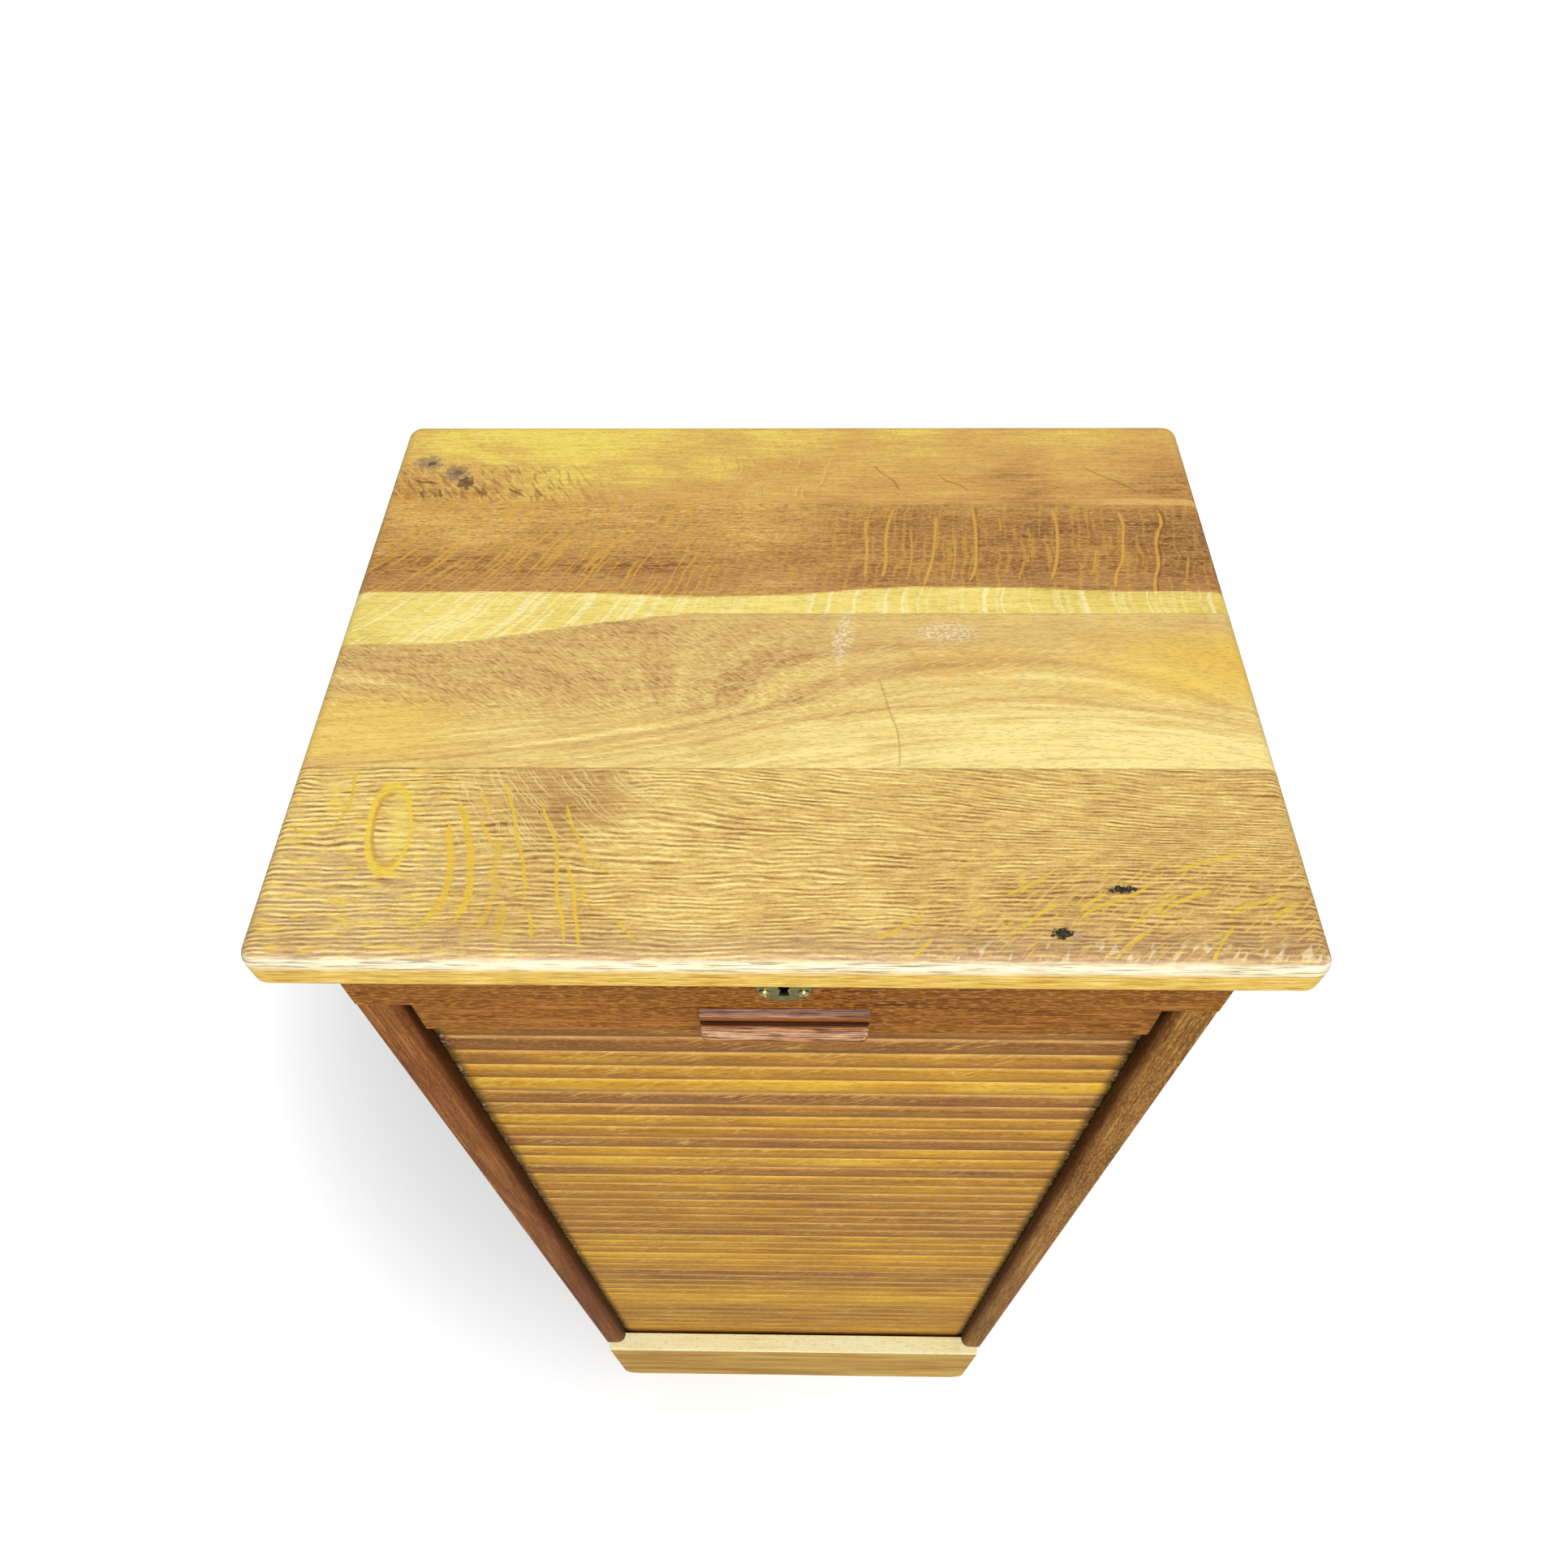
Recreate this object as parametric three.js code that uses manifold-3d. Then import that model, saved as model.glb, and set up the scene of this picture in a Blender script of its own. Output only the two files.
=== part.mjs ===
// A narrow oak tambour cabinet. Its slatted shutter slides down from under the frieze rail, round through
// the plinth and up behind a false back, and closes over a stack of pull-out trays.
// Millimetres, +Z up, the front faces -Y, the origin is on the floor under the middle of the top board.
import * as THREE from "three";
import { mergeVertices } from "three/addons/utils/BufferGeometryUtils.js";
import Module from "manifold-3d";

const wasm = await Module();
wasm.setup();

// Overall size, and what all pieces share
const cabinetHeight = 1150;
const seamGap = 0.3; // left between pieces that are glued or screwed together
const brokenArris = 1.2; // radius of a sawn board's broken edges
const cutOverrun = 4; // how far a cutting solid runs past the face that it opens
const weldDepth = 0.2; // how far two solids of one piece run into each other
const arcSteps = 2; // half the number of flats in a rounded corner
const turnedSides = 20; // flats round a turned piece

// Top board
const topWidth = 460;
const topDepth = 360;
const topThickness = 22;
const topEdgeRadius = 8; // of the upper edge; the lower one is square
const topCornerRadius = 9;
const topSideOverhang = 19;
const topFrontOverhang = 22;
const topRearOverhang = 5;
const topEdgeSteps = 4; // flats across the rounded edge

// Side panels, whose rounded front edges show as the stiles
const sideThickness = 20;
const stileRadius = 8;
const rearRebateWidth = 8;

// Frieze rail over the shutter
const friezeHeight = 68.4;
const friezeThickness = 20;

// Plinth board, its glue blocks and the stretcher between the feet
const plinthHeight = 162;
const plinthThickness = 17.8;
const plinthProjection = 7.5;
const plinthEndSetback = 3; // from the carcase sides to the plinth board's ends
const plinthFootRadius = 18;
const plinthBlockLeg = 26;
const plinthBlockHeight = 20;
const stretcherThickness = 18;
const stretcherDepth = 40;
const stretcherSetback = 190; // from the carcase front to the stretcher

// Shutter slats and their cloth backing
const slatPitch = 20.7;
const slatSeam = 0.4;
const slatThickness = 9;
const slatArris = 2;
const slatRecess = 13.5; // from the stiles' front to the slats' face
const slatEndGap = 0.8;
const slatsPerSection = 4;
const clothThickness = 0.8;
const clothMargin = 6; // from the stiles to the cloth's edge

// Track that the shutter runs in, cut into both side panels
const trackDepth = 8.5;
const trackClearance = 0.6;
const trackBendRadius = 50; // to the middle of the track
const trackFloorHeight = 28; // middle of the run under the cabinet floor
const trackRearInset = 15; // middle of the rear run, from the carcase rear
const trackBendSteps = 5; // half the number of flats in a bend

// Lead rail, the shutter's top rail, with its pull
const leadHeight = 29;
const leadThickness = 22;
const leadSetback = 0.5;
const leadEndGap = 7; // between the rail's ends and the stiles
const pullWidth = 83.5;
const pullHeight = 22;
const pullProjection = 10.5;
const pullLipRadius = 4.5;
const pullScrewSpacing = 52;
const pullScrewHeightShare = 0.25; // up the pull from its lower edge
const pullScrewBite = 6; // length of screw in the pull
// The pull's section as [forward, down]: a small bead, a finger groove and a fuller lip
const pullSectionShares = [
  [0, 0], [0.3, 0], [0.39, 0.03], [0.43, 0.1], [0.39, 0.2], [0.33, 0.31],
  [0.34, 0.41], [0.56, 0.46], [0.86, 0.53], [1, 0.65], [0.98, 0.82], [0.86, 0.95], [0.7, 1], [0, 1],
];

// Floor, backs, rails and cleats of the carcase
const floorThickness = 17;
const falseBackThickness = 6;
const falseBackSetback = 26; // from its rear face to the carcase rear
const falseBackDrop = 5; // below the floor board
const backThickness = 6;
const backFloorGap = 6;
const rearRailHeight = 60;
const rearRailThickness = 18;
const cleatSize = 18;

// Trays and the grooved panels that guide them
const guideThickness = 10;
const guideGrooveDepth = 6.5;
const trayPitch = 83.5;
const trayHeight = 62;
const trayWall = 9;
const trayFrontWall = 12;
const trayFloorThickness = 4;
const trayFloorLedge = 5; // how far the floor is let into the walls
const trayRunnerHeight = 8;
const trayRunnerRise = 40; // from the tray's underside to its runners
const traySideGap = 0.7;
const trayRunnerGap = 0.4;
const trayRoom = 4.8; // between the shutter's cloth and the tray fronts
const trayRearRoom = 9.1; // between the trays and the false back
const trayClearance = 6; // between the trays and the lead rail, above and below
const scoopWidth = 90;
const scoopDepth = 18;

// Lock, let into the back of the frieze rail
const lockWidth = 50;
const lockHeight = 35;
const lockDepth = 13;
const lockWall = 1.4;
const lockCoverThickness = 1.5;
const selvedgeWidth = 62;
const selvedgeThickness = 2;
const keyholeRise = 24.5; // from the frieze's lower edge to the middle of the escutcheon
const keyholeRadius = 2.7;
const keyholeLift = 2.4; // from the escutcheon's middle up to the round of the keyhole
const keyholeDrop = 6; // and down to its foot
const keyholeNeckWidth = 3.4;
const keyholeFootWidth = 5.2;
const boltLength = 12;
const boltHeight = 8;
const boltWidth = 8.6;
const tongueLength = 6;
const tongueHeight = 4.4;
const tongueWidth = 4;
const boltSetback = 1; // from the tongue's end to the loop, unlocked
const notchWidth = 5;
const notchDepth = 2.6;

// Strike plate with the loop that the bolt shoots through
const strikeLength = 36;
const strikeWidth = 11;
const strikeThickness = 1.5;
const loopThickness = 2.4;
const loopWall = 1.8;
const loopHeight = 11.4;
const eyeWidth = 4.6;
const eyeHeight = 5;
const eyeRise = 4; // from the lead rail's top to the eye
const loopSlotGap = 0.7;

// Escutcheon and the round-head screws that hold it
const escutcheonRadius = 12.9;
const escutcheonThickness = 1.6;
const escutcheonChamfer = 0.5;
const plateScrewSpacing = 18.6;
const plateScrewDrop = 3;
const plateScrewHeadRadius = 2.5;
const plateScrewHeadHeight = 1.3;
const plateScrewShankRadius = 1.2;
const plateScrewLength = 5.5;
const pullScrewHeadRadius = 3.6;
const pullScrewHeadHeight = 2.4;
const pullScrewShankRadius = 1.8;
const screwSlotWidth = 0.8;
const screwSlotDepth = 0.7;
const screwSides = 12;
// A domed screw head's outline as [radius, height]
const domeShares = [[1, 0], [0.92, 0.5], [0.66, 0.85], [0, 1]];

// Planes and heights that follow from the sizes above
const carcaseTop = cabinetHeight - topThickness;
const carcaseHalf = topWidth / 2 - topSideOverhang;
const sideInner = carcaseHalf - sideThickness;
const innerHalf = sideInner - seamGap;
const frontFace = topFrontOverhang - topDepth / 2;
const rearFace = topDepth / 2 - topRearOverhang;
const boardTop = carcaseTop - seamGap;
const friezeBottom = carcaseTop - friezeHeight;
const friezeBack = frontFace + friezeThickness;
const plinthHalf = carcaseHalf - plinthEndSetback;
const plinthFront = frontFace - plinthProjection;
const plinthBack = plinthFront + plinthThickness;
const slatFace = frontFace + slatRecess;
const slatBack = slatFace + slatThickness;
const clothBack = slatBack + clothThickness - weldDepth;
const trackWidth = slatThickness + 2 * trackClearance;
const trackFrontY = (slatFace + slatBack) / 2;
const trackRearY = rearFace - trackRearInset;
const bendHeight = trackFloorHeight + trackBendRadius;
const slatEnd = sideInner + trackDepth - slatEndGap;
const leadTop = friezeBottom - seamGap;
const leadBottom = leadTop - leadHeight;
const leadFront = frontFace + leadSetback;
const leadBack = leadFront + leadThickness;
const sectionHeight = slatsPerSection * slatPitch;
const sectionCount = Math.floor((leadBottom - bendHeight) / sectionHeight);
const falseBackRear = rearFace - falseBackSetback;
const falseBackFront = falseBackRear - falseBackThickness;
const trayFront = clothBack + trayRoom;
const trayDepth = falseBackFront - trayRearRoom - trayFront;
const guideInner = innerHalf - guideThickness;
const trayHalf = guideInner - traySideGap;
const trayLowest = plinthHeight + seamGap + leadHeight + loopHeight + trayClearance;
const trayCount = 1 + Math.floor((leadBottom - trayClearance - trayHeight - trayLowest) / trayPitch);
const lockFront = friezeBack - lockDepth;
const lockMiddle = (lockFront + lockWall + friezeBack - lockCoverThickness) / 2;
const keyholeHeight = friezeBottom + keyholeRise;
const pullTop = leadTop;
const pullBack = leadFront - seamGap;
const pullScrewHeight = pullTop - pullHeight * (1 - pullScrewHeightShare);
const pullScrewSeat = leadBack - pullScrewHeadHeight;
const pullScrewLength = pullScrewSeat - pullBack + pullScrewBite;
const plateBack = frontFace - seamGap;
const plateFront = plateBack - escutcheonThickness;

const xAxis = new THREE.Vector3(1, 0, 0);
const yAxis = new THREE.Vector3(0, 1, 0);
const zAxis = new THREE.Vector3(0, 0, 1);

const finishes = {
  goldenOak: { color: 0xc79a4a, roughness: 0.5, metalness: 0 },
  brownOak: { color: 0x9a6430, roughness: 0.55, metalness: 0 },
  redOak: { color: 0x7d4b2c, roughness: 0.55, metalness: 0 },
  slatOak: { color: 0xb98a3c, roughness: 0.5, metalness: 0 },
  plinthOak: { color: 0xb98d45, roughness: 0.5, metalness: 0 },
  pullOak: { color: 0xa98468, roughness: 0.6, metalness: 0 },
  innerWood: { color: 0xc8a673, roughness: 0.65, metalness: 0 },
  plywood: { color: 0xb99a6b, roughness: 0.7, metalness: 0 },
  brass: { color: 0x8c8660, roughness: 0.4, metalness: 1 },
  steel: { color: 0x8b8a86, roughness: 0.45, metalness: 1 },
};

// A closed outline through corners [u, v, radius]; a corner with a radius is rounded by an arc.
function outline(corners) {
  const shape = new THREE.Shape();
  const count = corners.length;
  const pointAt = (i) => new THREE.Vector2(...corners[(i + count) % count].slice(0, 2));
  corners.forEach(([u, v, radius = 0], i) => {
    const corner = new THREE.Vector2(u, v);
    const toLast = pointAt(i - 1).sub(corner).normalize();
    const toNext = pointAt(i + 1).sub(corner).normalize();
    const half = Math.acos(toLast.dot(toNext)) / 2;
    const middle = toLast.clone().add(toNext).normalize();
    const centre = corner.clone().addScaledVector(middle, radius / Math.sin(half));
    const start = corner.clone().addScaledVector(toLast, radius / Math.tan(half));
    const end = corner.clone().addScaledVector(toNext, radius / Math.tan(half));
    if (i === 0) shape.moveTo(start.x, start.y);
    else shape.lineTo(start.x, start.y);
    if (radius === 0) return;
    const from = start.sub(centre).angle();
    const to = end.sub(centre).angle();
    const clockwise = toLast.cross(toNext) > 0;
    shape.absarc(centre.x, centre.y, radius, from, to, clockwise);
  });
  shape.closePath();
  return shape;
}

function extruded(shape, length, basis, x, y, z, steps = arcSteps) {
  const options = { depth: length, bevelEnabled: false, curveSegments: steps };
  const geometry = new THREE.ExtrudeGeometry(shape, options);
  return geometry.applyMatrix4(new THREE.Matrix4().makeBasis(...basis).setPosition(x, y, z));
}

// A bar along X from an outline in (y, z).
function barAlongX(shape, fromX, toX, steps) {
  return extruded(shape, toX - fromX, [yAxis, zAxis, xAxis], fromX, 0, 0, steps);
}

// A bar along Y from an outline in (x, z).
function barAlongY(shape, fromY, toY, steps) {
  return extruded(shape, toY - fromY, [xAxis, zAxis, yAxis.clone().negate()], 0, toY, 0, steps);
}

// A bar along Z from an outline in (x, y).
function barAlongZ(shape, fromZ, toZ, steps) {
  return extruded(shape, toZ - fromZ, [xAxis, yAxis, zAxis], 0, 0, fromZ, steps);
}

function block(fromX, toX, fromY, toY, fromZ, toZ) {
  const geometry = new THREE.BoxGeometry(toX - fromX, toY - fromY, toZ - fromZ);
  return geometry.translate((fromX + toX) / 2, (fromY + toY) / 2, (fromZ + toZ) / 2);
}

// A piece turned about an axis along Y, from a profile of [radius, height]; heights count towards -Y
// from the point given, or towards +Y where it faces the rear.
function turned(profile, x, y, z, facesRear = false, sides = turnedSides) {
  const points = profile.map(([radius, height]) => new THREE.Vector2(radius, height));
  const geometry = new THREE.LatheGeometry(points, sides);
  if (!facesRear) geometry.rotateX(Math.PI);
  return geometry.translate(x, y, z);
}

// A closed geometry as a solid that can be joined and cut.
function solid(geometry) {
  const bare = geometry.clone();
  bare.deleteAttribute("normal");
  bare.deleteAttribute("uv");
  const merged = mergeVertices(bare);
  const vertProperties = merged.getAttribute("position").array;
  const triVerts = new Uint32Array(merged.index.array);
  return new wasm.Manifold(new wasm.Mesh({ numProp: 3, vertProperties, triVerts }));
}

function geometryOf(made) {
  const { vertProperties, triVerts } = made.getMesh();
  const geometry = new THREE.BufferGeometry();
  geometry.setAttribute("position", new THREE.BufferAttribute(vertProperties, 3));
  geometry.setIndex(new THREE.BufferAttribute(triVerts, 1));
  const flat = geometry.toNonIndexed();
  flat.computeVertexNormals();
  return flat;
}

// One geometry made of a first one, with others joined on and others cut away.
function carved(first, joins, cuts) {
  let made = solid(first);
  for (const geometry of joins) made = made.add(solid(geometry));
  for (const geometry of cuts) made = made.subtract(solid(geometry));
  return geometryOf(made);
}

function piece(name, geometry, finish) {
  const mesh = new THREE.Mesh(geometry, new THREE.MeshStandardMaterial(finishes[finish]));
  mesh.name = name;
  return mesh;
}

// A right-hand piece and its mirror image on the left.
function pair(name, geometry, finish) {
  const right = piece(`${name}_right`, geometry, finish);
  const left = piece(`${name}_left`, geometry, finish);
  left.scale.x = -1;
  return [left, right];
}

function rectangle(fromU, toU, fromV, toV, radius = 0) {
  return outline([[fromU, fromV, radius], [toU, fromV, radius], [toU, toV, radius], [fromU, toV, radius]]);
}

// Top board: rounded in plan, with a rounded upper edge all round and a square lower one
function topBoard() {
  const halfX = topWidth / 2 - topEdgeRadius;
  const halfY = topDepth / 2 - topEdgeRadius;
  const shape = rectangle(-halfX, halfX, -halfY, halfY, topCornerRadius - topEdgeRadius);
  const geometry = new THREE.ExtrudeGeometry(shape, {
    depth: topThickness - topEdgeRadius,
    bevelSize: topEdgeRadius,
    bevelThickness: topEdgeRadius,
    bevelSegments: topEdgeSteps,
    curveSegments: arcSteps,
  });
  geometry.translate(0, 0, carcaseTop);
  const [pastX, pastY] = [topWidth / 2 + cutOverrun, topDepth / 2 + cutOverrun];
  const below = block(-pastX, pastX, -pastY, pastY, carcaseTop - topEdgeRadius - cutOverrun, carcaseTop);
  return piece("top_board", carved(geometry, [], [below]), "goldenOak");
}

// One edge of the track in (y, z): down the front, round under the floor and up the rear, out of the top
function trackEdge(radius) {
  const edge = new THREE.Path();
  edge.moveTo(trackFrontY + trackBendRadius - radius, friezeBottom);
  edge.lineTo(trackFrontY + trackBendRadius - radius, bendHeight);
  edge.absarc(trackFrontY + trackBendRadius, bendHeight, radius, Math.PI, 1.5 * Math.PI, false);
  edge.absarc(trackRearY - trackBendRadius, bendHeight, radius, 1.5 * Math.PI, 2 * Math.PI, false);
  edge.lineTo(trackRearY - trackBendRadius + radius, carcaseTop + cutOverrun);
  return edge.getPoints(trackBendSteps);
}

function trackCutter() {
  const outer = trackEdge(trackBendRadius + trackWidth / 2);
  const inner = trackEdge(trackBendRadius - trackWidth / 2);
  const shape = new THREE.Shape([...outer, ...inner.reverse()]);
  return barAlongX(shape, sideInner - cutOverrun, sideInner + trackDepth);
}

// Side panel: a board with a rounded inner front arris, a rebate for the back, the shutter's track,
// and notches that the frieze rail and the plinth board lie in
function sidePanels() {
  const rebateFront = rearFace - backThickness - seamGap;
  const plan = outline([
    [sideInner, frontFace, stileRadius],
    [carcaseHalf, frontFace, brokenArris],
    [carcaseHalf, rearFace, brokenArris],
    [sideInner + rearRebateWidth, rearFace],
    [sideInner + rearRebateWidth, rebateFront],
    [sideInner, rebateFront],
  ]);
  const past = carcaseHalf + cutOverrun;
  const before = frontFace - cutOverrun;
  const friezeNotch = block(-past, past, before, friezeBack + seamGap, friezeBottom, carcaseTop);
  const plinthNotch = block(-past, past, before, plinthBack + seamGap, -cutOverrun, plinthHeight + seamGap);
  const cuts = [trackCutter(), friezeNotch, plinthNotch];
  return pair("side_panel", carved(barAlongZ(plan, 0, boardTop), [], cuts), "redOak");
}

// The keyhole in (x, z): a round above a flared slot
function keyholeCutters(fromY, toY) {
  const neck = keyholeNeckWidth / 2;
  const foot = keyholeFootWidth / 2;
  const roundHeight = keyholeHeight + keyholeLift;
  const footHeight = keyholeHeight - keyholeDrop;
  const slot = outline([[-foot, footHeight], [foot, footHeight], [neck, roundHeight], [-neck, roundHeight]]);
  const disc = new THREE.Shape();
  disc.absarc(0, roundHeight, keyholeRadius, 0, 2 * Math.PI, false);
  return [barAlongY(slot, fromY, toY), barAlongY(disc, fromY, toY, 2 * arcSteps)];
}

// Frieze rail: the full-width rail under the top board, hollowed at the back for the lock
function friezeRail() {
  const section = outline([
    [frontFace, friezeBottom, brokenArris],
    [friezeBack, friezeBottom],
    [friezeBack, boardTop],
    [frontFace, boardTop],
  ]);
  const rail = barAlongX(section, -carcaseHalf, carcaseHalf);
  const below = friezeBottom - cutOverrun;
  const behind = friezeBack + cutOverrun;
  const room = lockWidth / 2 + seamGap;
  const recessTop = friezeBottom + lockHeight + seamGap;
  const lockRecess = block(-room, room, lockFront - seamGap, behind, below, recessTop);
  const selvedgeEnd = selvedgeWidth / 2 + seamGap;
  const selvedgeTop = friezeBottom + selvedgeThickness + seamGap;
  const selvedgeRecess = block(-selvedgeEnd, selvedgeEnd, lockFront - seamGap, behind, below, selvedgeTop);
  const keyhole = keyholeCutters(frontFace - cutOverrun, lockFront);
  const cuts = [lockRecess, selvedgeRecess, ...keyhole, ...plateScrewHoles(plateScrewLength + seamGap)];
  return piece("frieze_rail", carved(rail, [], cuts), "brownOak");
}

// Plinth board with rounded feet corners
function plinthBoard() {
  const shape = outline([
    [-plinthHalf, 0, plinthFootRadius],
    [plinthHalf, 0, plinthFootRadius],
    [plinthHalf, plinthHeight, brokenArris],
    [-plinthHalf, plinthHeight, brokenArris],
  ]);
  return piece("plinth_front", barAlongY(shape, plinthFront, plinthBack, 2 * arcSteps), "plinthOak");
}

function plinthBlocks() {
  const front = plinthBack + seamGap;
  const [rear, inner] = [front + plinthBlockLeg, innerHalf - plinthBlockLeg];
  const plan = outline([[innerHalf, front], [innerHalf, rear], [inner, front]]);
  return pair("plinth_block", barAlongZ(plan, 0, plinthBlockHeight), "innerWood");
}

function carcaseBoards() {
  const stretcherFront = frontFace + stretcherSetback;
  const stretcherRear = stretcherFront + stretcherDepth;
  const stretcher = block(-innerHalf, innerHalf, stretcherFront, stretcherRear, 0, stretcherThickness);
  const floorRear = falseBackFront - seamGap;
  const floorBottom = plinthHeight - floorThickness;
  const floor = block(-innerHalf, innerHalf, trayFront, floorRear, floorBottom, plinthHeight);
  const falseBackFoot = floorBottom - falseBackDrop;
  const falseBack = block(-innerHalf, innerHalf, falseBackFront, falseBackRear, falseBackFoot, boardTop);
  const railFront = floorRear - rearRailThickness;
  const rearRail = block(-innerHalf, innerHalf, railFront, floorRear, boardTop - rearRailHeight, boardTop);
  const backHalf = sideInner + rearRebateWidth - seamGap;
  const back = block(-backHalf, backHalf, rearFace - backThickness, rearFace, backFloorGap, boardTop);
  const cleatRear = railFront - seamGap;
  const cleatInner = innerHalf - cleatSize;
  const cleat = block(cleatInner, innerHalf, trayFront, cleatRear, boardTop - cleatSize, boardTop);
  return [
    piece("bottom_stretcher", stretcher, "innerWood"),
    piece("bottom_board", floor, "innerWood"),
    piece("false_back", falseBack, "plywood"),
    piece("rear_top_rail", rearRail, "innerWood"),
    piece("back_panel", back, "plywood"),
    ...pair("top_cleat", cleat, "innerWood"),
  ];
}

// Guide panel: a board inside each side panel, with one groove for each tray's runner
function trayGuides() {
  const bottom = plinthHeight + seamGap;
  const corners = [[innerHalf, bottom], [innerHalf, friezeBottom], [guideInner, friezeBottom]];
  for (let i = trayCount - 1; i >= 0; i--) {
    const grooveBottom = trayLowest + i * trayPitch + trayRunnerRise - trayRunnerGap;
    const grooveTop = grooveBottom + trayRunnerHeight + 2 * trayRunnerGap;
    const grooveFloor = guideInner + guideGrooveDepth;
    corners.push([guideInner, grooveTop], [grooveFloor, grooveTop]);
    corners.push([grooveFloor, grooveBottom], [guideInner, grooveBottom]);
  }
  corners.push([guideInner, bottom]);
  return pair("tray_guide", barAlongY(outline(corners), trayFront, falseBackFront - seamGap), "innerWood");
}

// Tray: four walls with a hollow scooped in the front one, runners on both sides, and a let-in floor.
// It is drawn with its front's lower edge at the origin.
function trayFrameGeometry() {
  const plan = rectangle(-trayHalf, trayHalf, 0, trayDepth);
  const innerX = trayHalf - trayWall;
  const innerRear = trayDepth - trayWall;
  const hollow = block(-innerX, innerX, trayFrontWall, innerRear, -cutOverrun, trayHeight + cutOverrun);
  const ledgeX = innerX + trayFloorLedge;
  const ledgeFront = trayFrontWall - trayFloorLedge;
  const ledgeRear = innerRear + trayFloorLedge;
  const ledge = block(-ledgeX, ledgeX, ledgeFront, ledgeRear, -cutOverrun, trayFloorThickness + seamGap);
  const scoopRadius = (scoopWidth * scoopWidth / 4 + scoopDepth * scoopDepth) / (2 * scoopDepth);
  const disc = new THREE.Shape();
  disc.absarc(0, trayHeight - scoopDepth + scoopRadius, scoopRadius, 0, 2 * Math.PI, false);
  const scoop = barAlongY(disc, -cutOverrun, trayFrontWall + cutOverrun, turnedSides);
  const runnerOuter = guideInner + guideGrooveDepth - trayRunnerGap;
  const runnerTop = trayRunnerRise + trayRunnerHeight;
  const runnerInner = trayHalf - weldDepth;
  const right = block(runnerInner, runnerOuter, 0, trayDepth, trayRunnerRise, runnerTop);
  const left = block(-runnerOuter, -runnerInner, 0, trayDepth, trayRunnerRise, runnerTop);
  return carved(barAlongZ(plan, 0, trayHeight), [right, left], [hollow, ledge, scoop]);
}

function trayFloorGeometry() {
  const halfX = trayHalf - trayWall + trayFloorLedge - seamGap;
  const front = trayFrontWall - trayFloorLedge + seamGap;
  const rear = trayDepth - trayWall + trayFloorLedge - seamGap;
  return block(-halfX, halfX, front, rear, 0, trayFloorThickness);
}

function numbered(name, i) {
  return `${name}_${String(i + 1).padStart(2, "0")}`;
}

// Trays are numbered from the top down.
function trays() {
  const frame = trayFrameGeometry();
  const floor = trayFloorGeometry();
  return Array.from({ length: trayCount }, (_, i) => {
    const tray = new THREE.Group();
    tray.add(piece(numbered("tray_frame", i), frame, "innerWood"));
    tray.add(piece(numbered("tray_floor", i), floor, "plywood"));
    tray.position.set(0, trayFront, trayLowest + (trayCount - 1 - i) * trayPitch);
    return tray;
  });
}

// Shutter section: slats side by side on one strip of cloth, drawn with the face at y = 0, the top at z = 0
function sectionGeometry() {
  const slats = Array.from({ length: slatsPerSection }, (_, i) => {
    const top = -i * slatPitch;
    const bottom = top - slatPitch + slatSeam;
    const section = outline([
      [0, bottom, slatArris], [slatThickness, bottom], [slatThickness, top], [0, top, slatArris],
    ]);
    return barAlongX(section, -slatEnd, slatEnd);
  });
  const clothHalf = sideInner - clothMargin;
  const clothFront = slatThickness - weldDepth;
  const clothBottom = slatSeam - sectionHeight;
  const cloth = block(-clothHalf, clothHalf, clothFront, clothFront + clothThickness, clothBottom, 0);
  return carved(cloth, slats, []);
}

function shutterSections() {
  const geometry = sectionGeometry();
  return Array.from({ length: sectionCount }, (_, i) => {
    const section = piece(numbered("tambour_section", i), geometry, "slatOak");
    section.position.set(0, slatFace, leadBottom - slatSeam - i * sectionHeight);
    return section;
  });
}

function screwProfile(headRadius, headHeight, shankRadius, length) {
  const head = domeShares.map(([radius, height]) => [radius * headRadius, height * headHeight]);
  return [[0, -length], [shankRadius, -length], [shankRadius, 0], ...head];
}

function screwSlot(x, fromY, toY, z, radius) {
  const half = screwSlotWidth / 2;
  return block(x - radius, x + radius, fromY, toY, z - half, z + half);
}

// Round-head screws that hold the escutcheon, and the holes that they sit in
function plateScrewHoles(depth) {
  const radius = plateScrewShankRadius + seamGap;
  const profile = [[0, -depth], [radius, -depth], [radius, cutOverrun], [0, cutOverrun]];
  const height = keyholeHeight - plateScrewDrop;
  return [-1, 1].map((side) =>
    turned(profile, side * plateScrewSpacing / 2, frontFace, height, false, screwSides));
}

function plateScrews() {
  const x = plateScrewSpacing / 2;
  const height = keyholeHeight - plateScrewDrop;
  const seat = plateFront - seamGap;
  const length = frontFace + plateScrewLength - seat;
  const profile = screwProfile(plateScrewHeadRadius, plateScrewHeadHeight, plateScrewShankRadius, length);
  const crown = seat - plateScrewHeadHeight;
  const slot = screwSlot(x, crown - cutOverrun, crown + screwSlotDepth, height, plateScrewHeadRadius);
  const screw = turned(profile, x, seat, height, false, screwSides);
  return pair("escutcheon_screw", carved(screw, [], [slot]), "brass");
}

// Escutcheon: a round plate with a keyhole and two screw holes
function escutcheon() {
  const profile = [
    [0, 0],
    [escutcheonRadius, 0],
    [escutcheonRadius, escutcheonThickness - escutcheonChamfer],
    [escutcheonRadius - escutcheonChamfer, escutcheonThickness],
    [0, escutcheonThickness],
  ];
  const plate = turned(profile, 0, plateBack, keyholeHeight);
  const keyhole = keyholeCutters(plateFront - cutOverrun, plateBack + cutOverrun);
  return piece("escutcheon", carved(plate, [], [...keyhole, ...plateScrewHoles(cutOverrun)]), "brass");
}

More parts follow.
